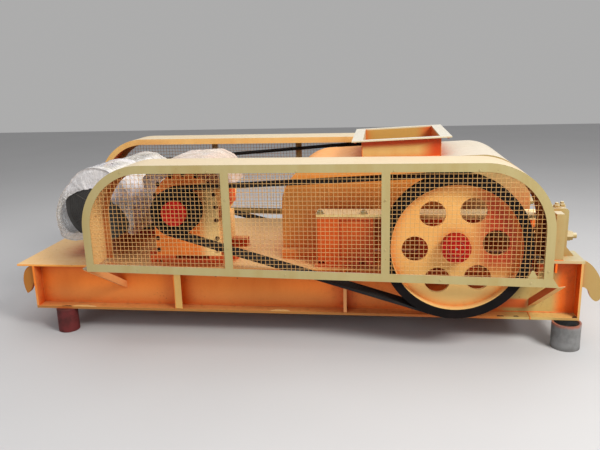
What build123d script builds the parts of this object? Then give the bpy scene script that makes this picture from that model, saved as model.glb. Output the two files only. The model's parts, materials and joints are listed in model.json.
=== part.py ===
from build123d import *
import math
import os

os.makedirs("parts", exist_ok=True)

# ---------------------------------------------------------------- dimensions
# Millimetres. Stations: x is measured from the left end of the base frame,
# y from its front flange edge, z from a level LIFT above the floor. The model's
# own origin is on the floor under the middle of the whole machine.
XC = 1788.0                 # station of the model origin along the machine
YC = 668.0                  # station of the model origin across the machine
LIFT = 12.0                 # height of station level zero above the floor

# base frame
STAND_H = 150.0             # underside of the frame, on loose stands
BASE_L = 3560.0
BASE_W = 2 * YC
BEAM_TOP = 451.0            # top of the low part of the beams
DECK_TOP = 463.0            # top of the deck plate
PAD_TOP = 532.0             # top of the raised right end
PAD_X = 3300.0              # where the raised end starts
FLANGE_W = 97.0
FLANGE_T = 16.0
WEB_T = 12.0
STIFFENER_X = (992.0, 2120.0)
DECK_LEFT = -107.0
DECK_RIGHT = 3288.0

# rolls and shafts
ROLL_R = 305.0
ROLL_L = 700.0
ROLL_Z = 653.0
MOVE_X = 2786.0             # movable roll, driven from the front
FIX_X = 2156.0              # fixed roll, driven from the rear
SHAFT_R = 60.0
ROD_Y = 150.0               # tie rods and springs behind the bearing boxes
RAIL_Z, RAIL_T = 790.0, 16.0   # bar over the bearing boxes

# housing round the rolls
HOUSE_X0, HOUSE_X1 = 1688.0, 3288.0
HOUSE_Y0 = 270.0
HOUSE_Z0 = DECK_TOP
WALL_Z0 = 520.0             # the side walls stand on base angles
ROOF_Z_L, ROOF_Z_R = 1102.0, 1143.0   # roof line at its left and right end
HOUSE_ARC_L, HOUSE_ARC_R = 290.0, 303.0
WALL_T = 16.0
COVER_T = 8.0

# feed hopper
HOP_X0, HOP_X1 = 2223.0, 2725.0
HOP_HALF = 362.0
HOP_X = 2482.0              # middle of the mouth, which lies parallel to the roof
HOP_TOP = 1251.0
HOP_WALL = 6.0
HOP_FLANGE_X0, HOP_FLANGE_X1 = 2158.0, 2789.0
HOP_FLANGE_HALF = 410.0

# belt drives, front side: the rear side is the same
BELT_Y0, BELT_Y1 = -170.0, -40.0
BIG_RIM_R = 424.0
BIG_RIM_IN = 381.0
BELT_GAP = 0.5
BELT_T = 15.0
SMALL_RIM_R = 136.0
F_MOTOR_X, MOTOR_Z = 1088.0, 860.0
R_MOTOR_X, R_MOTOR_Z = 430.0, 815.0
DISC_Y0, DISC_Y1 = -114.0, -92.0
HUB_Y0 = -183.0
HOLE_R, HOLE_PCR = 78.0, 237.0
HUB_R = 85.0
MOTOR_R = 215.0
MOTOR_SHAFT_R = 32.5

# guards: a bent sheet with a barred frame and mesh on its outer face
GUARD_Y0, GUARD_Y1 = -204.0, 90.0
GUARD_X0, GUARD_X1 = 500.0, 3330.0
GUARD_TOP = 1162.0
GUARD_R = 400.0
GUARD_Z_L, GUARD_Z_R = 488.0, 434.0   # lower edge at the left and right end
RIM_T = 5.0
BAR_W, BAR_T = 50.0, 6.0
BAR_X = (1425.0, 2375.0)
R_GUARD_X0, R_GUARD_X1 = -44.0, 2700.0
R_BAR_X = (904.0, 1644.0)


# ------------------------------------------------------------------- helpers
def xz(y):
    """Plane facing the front at station y: local x along the machine, y up."""
    return Plane(origin=(-XC, y - YC, LIFT), x_dir=(1, 0, 0), z_dir=(0, -1, 0))


def xy(z):
    return Plane(origin=(-XC, -YC, z + LIFT))


def yz(x):
    return Plane(origin=(x - XC, -YC, LIFT), x_dir=(0, 1, 0), z_dir=(1, 0, 0))


def ry(y):
    """Station of the mirror image of y on the rear side."""
    return 2 * YC - y


def block(x0, x1, y0, y1, z0, z1, mode=Mode.ADD):
    """A rectangular plate or bar between two corners."""
    with Locations(((x0 + x1) / 2 - XC, (y0 + y1) / 2 - YC, (z0 + z1) / 2 + LIFT)):
        Box(abs(x1 - x0), abs(y1 - y0), abs(z1 - z0), mode=mode)


def disc(x, z, r, y0, y1, mode=Mode.ADD):
    """A round bar or bore with its axis across the machine."""
    with BuildSketch(xz(max(y0, y1))) as outline:
        with Locations((x, z)):
            Circle(r)
    extrude(outline.sketch, amount=abs(y1 - y0), mode=mode)


def plate(points, y0, y1, mode=Mode.ADD):
    """A flat plate with straight edges, standing along the machine."""
    with BuildSketch(xz(max(y0, y1))) as outline:
        with BuildLine():
            Polyline(*points, close=True)
        make_face()
    extrude(outline.sketch, amount=abs(y1 - y0), mode=mode)


def arched_face(x0, x1, z0, z1, r):
    """Closed outline with rounded upper corners, used inside a sketch."""
    k = r * (1 - math.sqrt(0.5))
    with BuildLine() as loop:
        Line((x0, z0), (x0, z1 - r))
        ThreePointArc((x0, z1 - r), (x0 + k, z1 - k), (x0 + r, z1))
        Line((x0 + r, z1), (x1 - r, z1))
        ThreePointArc((x1 - r, z1), (x1 - k, z1 - k), (x1, z1 - r))
        Line((x1, z1 - r), (x1, z0))
        Line((x1, z0), (x0, z0))
    make_face(loop.edges())


def arched(x0, x1, z0, z1, r, y0, y1, mode=Mode.ADD):
    with BuildSketch(xz(max(y0, y1))) as outline:
        arched_face(x0, x1, z0, z1, r)
    extrude(outline.sketch, amount=abs(y1 - y0), mode=mode)


def belt_outline(xs, zs, rs, xb, zb, rb):
    """Outline of a loop round two circles, small one first."""
    dx, dz = xb - xs, zb - zs
    dist = math.hypot(dx, dz)
    base = math.atan2(dz, dx)
    tilt = math.acos((rs - rb) / dist)
    low, up = base - tilt, base + tilt

    def on(x, z, r, a):
        return (x + r * math.cos(a), z + r * math.sin(a))

    p, q = on(xs, zs, rs, up), on(xb, zb, rb, up)
    with BuildLine() as loop:
        Line(p, q)
        ThreePointArc(q, on(xb, zb, rb, base), on(xb, zb, rb, low))
        Line(on(xb, zb, rb, low), on(xs, zs, rs, low))
        ThreePointArc(on(xs, zs, rs, low), on(xs, zs, rs, base + math.pi), p)
    make_face(loop.edges())


def belt(xs, zs, xb, zb, y0, y1):
    with BuildSketch(xz(max(y0, y1))) as outer:
        belt_outline(xs, zs, SMALL_RIM_R + BELT_GAP + BELT_T, xb, zb, BIG_RIM_R + BELT_GAP + BELT_T)
    extrude(outer.sketch, amount=abs(y1 - y0))
    with BuildSketch(xz(max(y0, y1))) as inner:
        belt_outline(xs, zs, SMALL_RIM_R + BELT_GAP, xb, zb, BIG_RIM_R + BELT_GAP)
    extrude(inner.sketch, amount=abs(y1 - y0), mode=Mode.SUBTRACT)


# ============================================================ stands
with BuildPart() as stand_front_left:
    with BuildSketch(xy(-LIFT)):
        with Locations((202, 27)):
            Circle(70)
    extrude(amount=STAND_H + LIFT)
    chamfer(stand_front_left.edges().filter_by(GeomType.CIRCLE), 3)
stand_front_left.part.label = "stand_front_left"
export_step(stand_front_left.part, "parts/stand_front_left.step")

with BuildPart() as stand_front_right:
    with BuildSketch(xy(-LIFT)):
        with Locations((3480, -21)):
            Circle(86)
            Circle(74, mode=Mode.SUBTRACT)
    extrude(amount=STAND_H + LIFT)
stand_front_right.part.label = "stand_front_right"
export_step(stand_front_right.part, "parts/stand_front_right.step")

with BuildPart() as rear_stands:
    with BuildSketch(xy(-LIFT)):
        with Locations((202, ry(27)), (3440, ry(40))):
            Circle(90)
            Circle(78, mode=Mode.SUBTRACT)
    extrude(amount=STAND_H + LIFT)
rear_stands.part.label = "rear_stands"
export_step(rear_stands.part, "parts/rear_stands.step")

# ============================================================ base frame
with BuildPart() as front_beam:
    web_y0, web_y1 = FLANGE_W - WEB_T, FLANGE_W
    # web, higher at the right end
    plate([(0, STAND_H), (BASE_L, STAND_H), (BASE_L, PAD_TOP - FLANGE_T / 2),
           (PAD_X - WEB_T, PAD_TOP - FLANGE_T / 2), (PAD_X - WEB_T, BEAM_TOP), (0, BEAM_TOP)],
          web_y0, web_y1)
    # flanges
    block(0, BASE_L, 0, FLANGE_W, STAND_H, STAND_H + FLANGE_T)
    block(0, PAD_X, 50, FLANGE_W, BEAM_TOP - FLANGE_T, BEAM_TOP)
    block(PAD_X - WEB_T, BASE_L + 6, 0, 225, PAD_TOP - FLANGE_T, PAD_TOP)
    # end plates, step plate and stiffeners
    block(0, 14, 0, FLANGE_W, STAND_H, BEAM_TOP)
    block(BASE_L - 14, BASE_L, 0, FLANGE_W, STAND_H, PAD_TOP)
    block(PAD_X - WEB_T, PAD_X, 0, FLANGE_W, BEAM_TOP - FLANGE_T, PAD_TOP)
    for x in STIFFENER_X:
        block(x - 6, x + 6, 4, web_y1, STAND_H, BEAM_TOP)
    # small hanging tab under the raised flange
    block(3396, 3408, 2, 40, 455, PAD_TOP - FLANGE_T)
front_beam.part.label = "front_beam"
export_step(front_beam.part, "parts/front_beam.step")

with BuildPart() as rear_beam:
    mirror(front_beam.part, about=Plane.XZ)
rear_beam.part.label = "rear_beam"
export_step(rear_beam.part, "parts/rear_beam.step")

with BuildPart() as left_end_beam:
    block(14, 26, FLANGE_W, ry(FLANGE_W), STAND_H, BEAM_TOP)
    block(14, 104, FLANGE_W, ry(FLANGE_W), STAND_H, STAND_H + FLANGE_T)
    block(14, 104, FLANGE_W, ry(FLANGE_W), BEAM_TOP - FLANGE_T, BEAM_TOP)
left_end_beam.part.label = "left_end_beam"
export_step(left_end_beam.part, "parts/left_end_beam.step")

with BuildPart() as right_end_beam:
    block(BASE_L - 26, BASE_L - 14, FLANGE_W, ry(FLANGE_W), STAND_H, BEAM_TOP)
    block(BASE_L - 104, BASE_L - 14, FLANGE_W, ry(FLANGE_W), STAND_H, STAND_H + FLANGE_T)
    block(BASE_L - 104, BASE_L - 14, FLANGE_W, ry(FLANGE_W), BEAM_TOP - FLANGE_T, BEAM_TOP)
right_end_beam.part.label = "right_end_beam"
export_step(right_end_beam.part, "parts/right_end_beam.step")

with BuildPart() as cross_beams:
    for x in (870.0, 1700.0, 3230.0):
        block(x - 6, x + 6, FLANGE_W, ry(FLANGE_W), 251, BEAM_TOP)
        block(x - 50, x + 50, FLANGE_W, ry(FLANGE_W), 251, 267)
        block(x - 50, x + 50, FLANGE_W, ry(FLANGE_W), BEAM_TOP - FLANGE_T, BEAM_TOP)
cross_beams.part.label = "cross_beams"
export_step(cross_beams.part, "parts/cross_beams.step")

with BuildPart() as deck_plate:
    block(DECK_LEFT, DECK_RIGHT, 0, BASE_W, BEAM_TOP, DECK_TOP)
    block(1760, 3220, HOUSE_Y0 + 20, ry(HOUSE_Y0 + 20), BEAM_TOP, DECK_TOP, mode=Mode.SUBTRACT)
deck_plate.part.label = "deck_plate"
export_step(deck_plate.part, "parts/deck_plate.step")

# flame-cut hooks at both ends of both beams
with BuildPart() as lifting_hooks:
    for y0 in (20.0, ry(20.0) - 25.0):
        with BuildSketch(xz(y0 + 25)) as right_hook:
            with BuildLine():
                Polyline((BASE_L, 364), (BASE_L, 516), (BASE_L + 6, 516), (BASE_L + 6, 529))
                Spline((BASE_L + 6, 529), (3603, 509), (3638, 470), (3664, 424), (3679, 370), (3682, 310), (3671, 280), (3653, 271))
                Spline((3653, 271), (3635, 280), (3619, 300), (3603, 338), (3588, 354), (3566, 362))
                Polyline((3566, 362), (BASE_L, 364))
            make_face()
        extrude(right_hook.sketch, amount=25)
        with BuildSketch(xz(y0 + 25)) as left_hook:
            with BuildLine():
                Polyline((0, 445), (-30, 445))
                Spline((-30, 445), (-62, 420), (-84, 370), (-87, 308), (-70, 248))
                Spline((-70, 248), (-43, 270), (-24, 306), (-12, 330))
                Polyline((-12, 330), (0, 332), (0, 445))
            make_face()
        extrude(left_hook.sketch, amount=25)
lifting_hooks.part.label = "lifting_hooks"
export_step(lifting_hooks.part, "parts/lifting_hooks.step")

# ============================================================ roll housing
def roof_z(x):
    x0, x1 = HOUSE_X0 + HOUSE_ARC_L, HOUSE_X1 - HOUSE_ARC_R
    return ROOF_Z_L + (ROOF_Z_R - ROOF_Z_L) * (x - x0) / (x1 - x0)


def housing_wall(y0):
    rl, rr = HOUSE_ARC_L, HOUSE_ARC_R
    kl, kr = rl * (1 - math.sqrt(0.5)), rr * (1 - math.sqrt(0.5))
    with BuildSketch(xz(y0 + WALL_T)) as outline:
        with BuildLine() as loop:
            Line((HOUSE_X0, WALL_Z0), (HOUSE_X0, ROOF_Z_L - rl))
            ThreePointArc((HOUSE_X0, ROOF_Z_L - rl), (HOUSE_X0 + kl, ROOF_Z_L - kl), (HOUSE_X0 + rl, ROOF_Z_L))
            Line((HOUSE_X0 + rl, ROOF_Z_L), (HOUSE_X1 - rr, ROOF_Z_R))
            ThreePointArc((HOUSE_X1 - rr, ROOF_Z_R), (HOUSE_X1 - kr, ROOF_Z_R - kr), (HOUSE_X1, ROOF_Z_R - rr))
            Line((HOUSE_X1, ROOF_Z_R - rr), (HOUSE_X1, WALL_Z0))
            Line((HOUSE_X1, WALL_Z0), (HOUSE_X0, WALL_Z0))
        make_face(loop.edges())
    extrude(outline.sketch, amount=WALL_T)
    for x in (MOVE_X, FIX_X):
        disc(x, ROLL_Z, 76, y0, y0 + WALL_T, mode=Mode.SUBTRACT)


with BuildPart() as housing_front_wall:
    housing_wall(HOUSE_Y0)
    # base angle between the wall and the deck
    block(HOUSE_X0, 3270, 208, HOUSE_Y0 + WALL_T, WALL_Z0 - 12, WALL_Z0)
    block(HOUSE_X0, 3270, 208, 220, DECK_TOP, WALL_Z0)
housing_front_wall.part.label = "housing_front_wall"
export_step(housing_front_wall.part, "parts/housing_front_wall.step")

with BuildPart() as housing_rear_wall:
    mirror(housing_front_wall.part, about=Plane.XZ)
housing_rear_wall.part.label = "housing_rear_wall"
export_step(housing_rear_wall.part, "parts/housing_rear_wall.step")

in_y0, in_y1 = HOUSE_Y0 + WALL_T, ry(HOUSE_Y0 + WALL_T)

with BuildPart() as housing_left_cover:
    with BuildSketch(xz(in_y1)) as section:
        with BuildLine():
            x0, r, t = HOUSE_X0, HOUSE_ARC_L, COVER_T
            zt, ze = ROOF_Z_L, roof_z(HOP_X0)
            ko, ki = r * (1 - math.sqrt(0.5)), (r - t) * (1 - math.sqrt(0.5))
            Line((x0, HOUSE_Z0), (x0, zt - r))
            ThreePointArc((x0, zt - r), (x0 + ko, zt - ko), (x0 + r, zt))
            Line((x0 + r, zt), (HOP_X0, ze))
            Line((HOP_X0, ze), (HOP_X0, ze - t))
            Line((HOP_X0, ze - t), (x0 + r, zt - t))
            ThreePointArc((x0 + r, zt - t), (x0 + t + ki, zt - t - ki), (x0 + t, zt - r))
            Line((x0 + t, zt - r), (x0 + t, HOUSE_Z0))
            Line((x0 + t, HOUSE_Z0), (x0, HOUSE_Z0))
        make_face()
    extrude(section.sketch, amount=in_y1 - in_y0)
housing_left_cover.part.label = "housing_left_cover"
export_step(housing_left_cover.part, "parts/housing_left_cover.step")

with BuildPart() as housing_right_cover:
    with BuildSketch(xz(in_y1)) as section:
        with BuildLine():
            x0, r, t = HOUSE_X1, HOUSE_ARC_R, COVER_T
            zt, ze = ROOF_Z_R, roof_z(HOP_X1)
            ko, ki = r * (1 - math.sqrt(0.5)), (r - t) * (1 - math.sqrt(0.5))
            Line((x0, HOUSE_Z0), (x0, zt - r))
            ThreePointArc((x0, zt - r), (x0 - ko, zt - ko), (x0 - r, zt))
            Line((x0 - r, zt), (HOP_X1, ze))
            Line((HOP_X1, ze), (HOP_X1, ze - t))
            Line((HOP_X1, ze - t), (x0 - r, zt - t))
            ThreePointArc((x0 - r, zt - t), (x0 - t - ki, zt - t - ki), (x0 - t, zt - r))
            Line((x0 - t, zt - r), (x0 - t, HOUSE_Z0))
            Line((x0 - t, HOUSE_Z0), (x0, HOUSE_Z0))
        make_face()
    extrude(section.sketch, amount=in_y1 - in_y0)
housing_right_cover.part.label = "housing_right_cover"
export_step(housing_right_cover.part, "parts/housing_right_cover.step")

def hop_z(x):
    """Height of the mouth, which is tilted like the roof."""
    return HOP_TOP + (ROOF_Z_R - ROOF_Z_L) / (HOUSE_X1 - HOUSE_X0 - HOUSE_ARC_L - HOUSE_ARC_R) * (x - HOP_X)


with BuildPart() as hopper:
    hy0, hy1 = YC - HOP_HALF, YC + HOP_HALF
    plate([(HOP_X0, roof_z(HOP_X0) - 18), (HOP_X1, roof_z(HOP_X1) - 18),
           (HOP_X1, hop_z(HOP_X1) - 4), (HOP_X0, hop_z(HOP_X0) - 4)], hy0, hy1)
    # flange round the mouth and the lower flange that closes the housing roof
    plate([(HOP_FLANGE_X0, hop_z(HOP_FLANGE_X0) - 8), (HOP_FLANGE_X1, hop_z(HOP_FLANGE_X1) - 8),
           (HOP_FLANGE_X1, hop_z(HOP_FLANGE_X1)), (HOP_FLANGE_X0, hop_z(HOP_FLANGE_X0))],
          YC - HOP_FLANGE_HALF, YC + HOP_FLANGE_HALF)
    plate([(HOP_X0, roof_z(HOP_X0) - COVER_T), (HOP_X1, roof_z(HOP_X1) - COVER_T),
           (HOP_X1, roof_z(HOP_X1)), (HOP_X0, roof_z(HOP_X0))], in_y0, in_y1)
    block(HOP_X0 + HOP_WALL, HOP_X1 - HOP_WALL, hy0 + HOP_WALL, hy1 - HOP_WALL,
          ROOF_Z_L - 30, HOP_TOP + 40, mode=Mode.SUBTRACT)
hopper.part.label = "hopper"
export_step(hopper.part, "parts/hopper.step")

# ============================================================ roll bearings
def bearing_box(x, through):
    """Welded bearing box, longer towards the spring side, with slots along its foot.
    The driven shaft comes through its face; the other face is closed."""
    block(x - 208, x + 144, 45, 206, DECK_TOP, RAIL_Z)
    block(x - 228, x + 164, 38, 206, DECK_TOP, DECK_TOP + 16)
    # recessed panel in the face
    block(x - 70, x + 128, 35, 57, DECK_TOP + 45, 772, mode=Mode.SUBTRACT)
    for x0, x1 in ((-206, -190), (-182, -166), (56, 100)):
        block(x + x0, x + x1, 35, 75, DECK_TOP + 18, DECK_TOP + 34, mode=Mode.SUBTRACT)
    if through:
        disc(x, ROLL_Z, 68, 40, 60)
        disc(x, ROLL_Z, SHAFT_R + 0.06, -40, 240, mode=Mode.SUBTRACT)
    else:
        disc(x, ROLL_Z, SHAFT_R + 0.06, 79, 240, mode=Mode.SUBTRACT)


def bearing_pair(x, front_through):
    """The front and the rear box of one roll."""
    with BuildPart() as front:
        bearing_box(x, front_through)
    with BuildPart() as rear:
        bearing_box(x, not front_through)
    with BuildPart() as pair:
        add(front.part)
        mirror(rear.part, about=Plane.XZ)
    return pair.part


with BuildPart() as fixed_roll_bearings:
    add(bearing_pair(FIX_X, False))
fixed_roll_bearings.part.label = "fixed_roll_bearings"
export_step(fixed_roll_bearings.part, "parts/fixed_roll_bearings.step")

with BuildPart() as movable_roll_bearings:
    add(bearing_pair(MOVE_X, True))
movable_roll_bearings.part.label = "movable_roll_bearings"
export_step(movable_roll_bearings.part, "parts/movable_roll_bearings.step")

# one bar lies over both boxes and runs on to the abutment
with BuildPart() as bearing_top_rails:
    block(1940, 3270, 38, 206, RAIL_Z, RAIL_Z + RAIL_T)
    block(3270, 3385, 98, 206, RAIL_Z, RAIL_Z + RAIL_T)
    mirror(about=Plane.XZ)
bearing_top_rails.part.label = "bearing_top_rails"
export_step(bearing_top_rails.part, "parts/bearing_top_rails.step")

# abutment blocks on the raised end
with BuildPart() as spring_abutments:
    with BuildSketch(xz(206)) as outline:
        with BuildLine():
            Polyline((3385, PAD_TOP), (3480, PAD_TOP), (3480, 806))
            ThreePointArc((3480, 806), (3474, 826), (3456, 835))
            Polyline((3456, 835), (3385, 835), (3385, PAD_TOP))
        make_face()
    extrude(outline.sketch, amount=106)
    # rib towards the front edge, a little lower
    plate([(3385, PAD_TOP), (3440, PAD_TOP), (3440, 810), (3430, 820), (3385, 820)], 10, 100)
    # gusset behind the block
    plate([(3480, PAD_TOP), (3530, PAD_TOP), (3480, 592)], 110, 122)
    # bore for the tie rod
    with BuildSketch(yz(3340)) as bore:
        with Locations((ROD_Y, ROLL_Z)):
            Circle(18.06)
    extrude(bore.sketch, amount=220, mode=Mode.SUBTRACT)
    mirror(about=Plane.XZ)
spring_abutments.part.label = "spring_abutments"
export_step(spring_abutments.part, "parts/spring_abutments.step")

with BuildPart() as tie_rods:
    rod_x0 = MOVE_X + 144
    with BuildSketch(yz(rod_x0)) as rod:
        with Locations((ROD_Y, ROLL_Z)):
            Circle(18)
    extrude(rod.sketch, amount=3545 - rod_x0)
    # nuts each side of the block and the seat plate at the bearing box
    for x0, r, t in ((rod_x0, 62, 20), (3361, 62, 24), (3480, 34, 26), (3506, 30, 16)):
        with BuildSketch(yz(x0)) as collar:
            with Locations((ROD_Y, ROLL_Z)):
                RegularPolygon(r, 6) if r < 50 else Circle(r)
        extrude(collar.sketch, amount=t)
    mirror(about=Plane.XZ)
tie_rods.part.label = "tie_rods"
export_step(tie_rods.part, "parts/tie_rods.step")

with BuildPart() as buffer_springs:
    with BuildSketch(yz(rod_x0 + 20)) as coil:
        with Locations((ROD_Y, ROLL_Z)):
            Circle(55)
            Circle(33, mode=Mode.SUBTRACT)
    extrude(coil.sketch, amount=3361 - rod_x0 - 20)
    mirror(about=Plane.XZ)
buffer_springs.part.label = "buffer_springs"
export_step(buffer_springs.part, "parts/buffer_springs.step")

# ============================================================ motors
def motor(x, z, r, y_end):
    """Foot-mounted motor, shaft to the front: end shield, finned body, fan cowl."""
    arched(x - MOTOR_R, x + MOTOR_R, 520, z + MOTOR_R, MOTOR_R - 0.5, 60, 84)
    disc(x, z, r - 15, 84, y_end - 160)
    disc(x, z, r, y_end - 160, y_end)
    disc(x, z, 110, 44, 60)
    block(x - 190, x - 120, 120, 600, 520, 720)
    block(x + 120, x + 190, 120, 600, 520, 720)
    block(x - 190, x + 190, 120, 600, 520, 545)
    block(x + 150, x + 245, 250, 430, z - 40, z + 100)
    disc(x, z, MOTOR_SHAFT_R + 0.06, 40, 160, mode=Mode.SUBTRACT)


with BuildPart() as front_motor:
    motor(F_MOTOR_X, MOTOR_Z, 212, 600)
front_motor.part.label = "front_motor"
export_step(front_motor.part, "parts/front_motor.step")

with BuildPart() as front_motor_rails:
    for y in (150.0, 500.0):
        block(F_MOTOR_X - 300, F_MOTOR_X + 300, y, y + 70, DECK_TOP, 520)
    # front plate under the motor's face, with a slot and fixing holes
    block(F_MOTOR_X - 262, F_MOTOR_X + 232, 60, 84, DECK_TOP, 520)
    block(999, 1225, 50, 90, 499, 521, mode=Mode.SUBTRACT)
    for x, z in ((869, 482), (896, 482), (1270, 494)):
        disc(x, z, 9, 50, 90, mode=Mode.SUBTRACT)
front_motor_rails.part.label = "front_motor_rails"
export_step(front_motor_rails.part, "parts/front_motor_rails.step")

with BuildPart() as rear_motor_face_front:
    motor(R_MOTOR_X, R_MOTOR_Z, 240, ry(200))
with BuildPart() as rear_motor:
    mirror(rear_motor_face_front.part, about=Plane.XZ)
rear_motor.part.label = "rear_motor"
export_step(rear_motor.part, "parts/rear_motor.step")

with BuildPart() as rear_motor_rails:
    for y in (150.0, 500.0):
        block(R_MOTOR_X - 290, R_MOTOR_X + 290, ry(y), ry(y + 70), DECK_TOP, 520)
rear_motor_rails.part.label = "rear_motor_rails"
export_step(rear_motor_rails.part, "parts/rear_motor_rails.step")

# loose packing film still lying over both motors
with BuildPart() as packing_film:
    film = [(140, 600), (122, 690), (116, 765), (132, 825), (170, 905), (232, 972), (286, 1036), (345, 1078),
            (430, 1094), (515, 1078), (598, 1015), (655, 925), (682, 830), (680, 720), (662, 620)]
    inner = [(144, 600), (126, 690), (120, 765), (136, 823), (173, 903), (235, 970), (289, 1033), (346, 1074),
             (430, 1090), (514, 1074), (595, 1012), (651, 924), (678, 830), (676, 720), (658, 620)]
    plate(film + inner[::-1], 180, 640)
packing_film.part.label = "packing_film"
export_step(packing_film.part, "parts/packing_film.step")

with BuildPart() as front_motor_film:
    film = [(800, 960), (806, 1040), (860, 1100), (960, 1140), (1090, 1152), (1200, 1157),
            (1290, 1120), (1340, 1040), (1352, 950)]
    inner = [(804, 960), (810, 1038), (863, 1096), (961, 1136), (1090, 1148), (1199, 1153),
             (1287, 1117), (1336, 1039), (1348, 950)]
    plate(film + inner[::-1], 100, 640)
front_motor_film.part.label = "front_motor_film"
export_step(front_motor_film.part, "parts/front_motor_film.step")

# ============================================================ belt drives
def big_rim(x):
    disc(x, ROLL_Z, BIG_RIM_R, BELT_Y0 - 4, BELT_Y1 + 4)
    disc(x, ROLL_Z, BIG_RIM_IN, BELT_Y0 - 10, BELT_Y1 + 10, mode=Mode.SUBTRACT)


def big_disc(x):
    disc(x, ROLL_Z, BIG_RIM_IN, DISC_Y0, DISC_Y1)
    disc(x, ROLL_Z, HUB_R, DISC_Y0 - 5, DISC_Y1 + 5, mode=Mode.SUBTRACT)
    for i in range(6):
        a = math.radians(5 + 60 * i)
        disc(x + HOLE_PCR * math.cos(a), ROLL_Z + HOLE_PCR * math.sin(a), HOLE_R,
             DISC_Y0 - 5, DISC_Y1 + 5, mode=Mode.SUBTRACT)


def big_hub(x):
    disc(x, ROLL_Z, HUB_R, HUB_Y0, -36)
    disc(x, ROLL_Z, SHAFT_R - 10, HUB_Y0 - 20, -30, mode=Mode.SUBTRACT)


def roll(x):
    disc(x, ROLL_Z, ROLL_R, YC - ROLL_L / 2, YC + ROLL_L / 2)
    # recessed faces round the boss
    for y0, y1 in ((YC - ROLL_L / 2, YC - ROLL_L / 2 + 60), (YC + ROLL_L / 2 - 60, YC + ROLL_L / 2)):
        with BuildSketch(xz(y1)) as ring:
            with Locations((x, ROLL_Z)):
                Circle(235)
                Circle(110, mode=Mode.SUBTRACT)
        extrude(ring.sketch, amount=y1 - y0, mode=Mode.SUBTRACT)
    disc(x, ROLL_Z, SHAFT_R, 200, BASE_W - 200, mode=Mode.SUBTRACT)


with BuildPart() as front_pulley_rim:
    big_rim(MOVE_X)
front_pulley_rim.part.label = "front_pulley_rim"
export_step(front_pulley_rim.part, "parts/front_pulley_rim.step")

with BuildPart() as front_pulley_disc:
    big_disc(MOVE_X)
front_pulley_disc.part.label = "front_pulley_disc"
export_step(front_pulley_disc.part, "parts/front_pulley_disc.step")

with BuildPart() as front_pulley_hub:
    big_hub(MOVE_X)
front_pulley_hub.part.label = "front_pulley_hub"
export_step(front_pulley_hub.part, "parts/front_pulley_hub.step")

with BuildPart() as movable_roll_shaft:
    disc(MOVE_X, ROLL_Z, SHAFT_R, -35, ry(80))
    disc(MOVE_X, ROLL_Z, SHAFT_R - 10, HUB_Y0 + 2, -35)
movable_roll_shaft.part.label = "movable_roll_shaft"
export_step(movable_roll_shaft.part, "parts/movable_roll_shaft.step")

with BuildPart() as movable_roll:
    roll(MOVE_X)
movable_roll.part.label = "movable_roll"
export_step(movable_roll.part, "parts/movable_roll.step")

with BuildPart() as fixed_pulley_rim_front:
    big_rim(FIX_X)
with BuildPart() as rear_pulley_rim:
    mirror(fixed_pulley_rim_front.part, about=Plane.XZ)
rear_pulley_rim.part.label = "rear_pulley_rim"
export_step(rear_pulley_rim.part, "parts/rear_pulley_rim.step")

with BuildPart() as fixed_pulley_disc_front:
    big_disc(FIX_X)
with BuildPart() as rear_pulley_disc:
    mirror(fixed_pulley_disc_front.part, about=Plane.XZ)
rear_pulley_disc.part.label = "rear_pulley_disc"
export_step(rear_pulley_disc.part, "parts/rear_pulley_disc.step")

with BuildPart() as fixed_pulley_hub_front:
    big_hub(FIX_X)
with BuildPart() as rear_pulley_hub:
    mirror(fixed_pulley_hub_front.part, about=Plane.XZ)
rear_pulley_hub.part.label = "rear_pulley_hub"
export_step(rear_pulley_hub.part, "parts/rear_pulley_hub.step")

with BuildPart() as fixed_roll_shaft:
    disc(FIX_X, ROLL_Z, SHAFT_R, 80, ry(-35))
    disc(FIX_X, ROLL_Z, SHAFT_R - 10, ry(-35), ry(HUB_Y0 + 2))
fixed_roll_shaft.part.label = "fixed_roll_shaft"
export_step(fixed_roll_shaft.part, "parts/fixed_roll_shaft.step")

with BuildPart() as fixed_roll:
    roll(FIX_X)
fixed_roll.part.label = "fixed_roll"
export_step(fixed_roll.part, "parts/fixed_roll.step")


def small_pulley(x, z):
    """Motor pulley with its boss and the motor's shaft end."""
    disc(x, z, SMALL_RIM_R, BELT_Y0 - 4, BELT_Y1 + 4)
    disc(x, z, SMALL_RIM_R - 26, BELT_Y0 - 10, BELT_Y0 + 60, mode=Mode.SUBTRACT)
    disc(x, z, 78, BELT_Y0 - 18, BELT_Y1)
    disc(x, z, MOTOR_SHAFT_R, BELT_Y1, 150)


with BuildPart() as front_motor_pulley:
    small_pulley(F_MOTOR_X, MOTOR_Z)
front_motor_pulley.part.label = "front_motor_pulley"
export_step(front_motor_pulley.part, "parts/front_motor_pulley.step")

with BuildPart() as motor_pulley_front:
    small_pulley(R_MOTOR_X, R_MOTOR_Z)
with BuildPart() as rear_motor_pulley:
    mirror(motor_pulley_front.part, about=Plane.XZ)
rear_motor_pulley.part.label = "rear_motor_pulley"
export_step(rear_motor_pulley.part, "parts/rear_motor_pulley.step")

with BuildPart() as front_belt:
    belt(F_MOTOR_X, MOTOR_Z, MOVE_X, ROLL_Z, BELT_Y0, BELT_Y1)
front_belt.part.label = "front_belt"
export_step(front_belt.part, "parts/front_belt.step")

with BuildPart() as rear_belt:
    belt(R_MOTOR_X, R_MOTOR_Z, FIX_X, ROLL_Z, ry(BELT_Y1), ry(BELT_Y0))
rear_belt.part.label = "rear_belt"
export_step(rear_belt.part, "parts/rear_belt.step")

# ============================================================ guards
def guard_z(x, x0, x1):
    """Height of the guard's lower edge: it falls towards the right end."""
    return GUARD_Z_L + (GUARD_Z_R - GUARD_Z_L) * (x - x0) / (x1 - x0)


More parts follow.
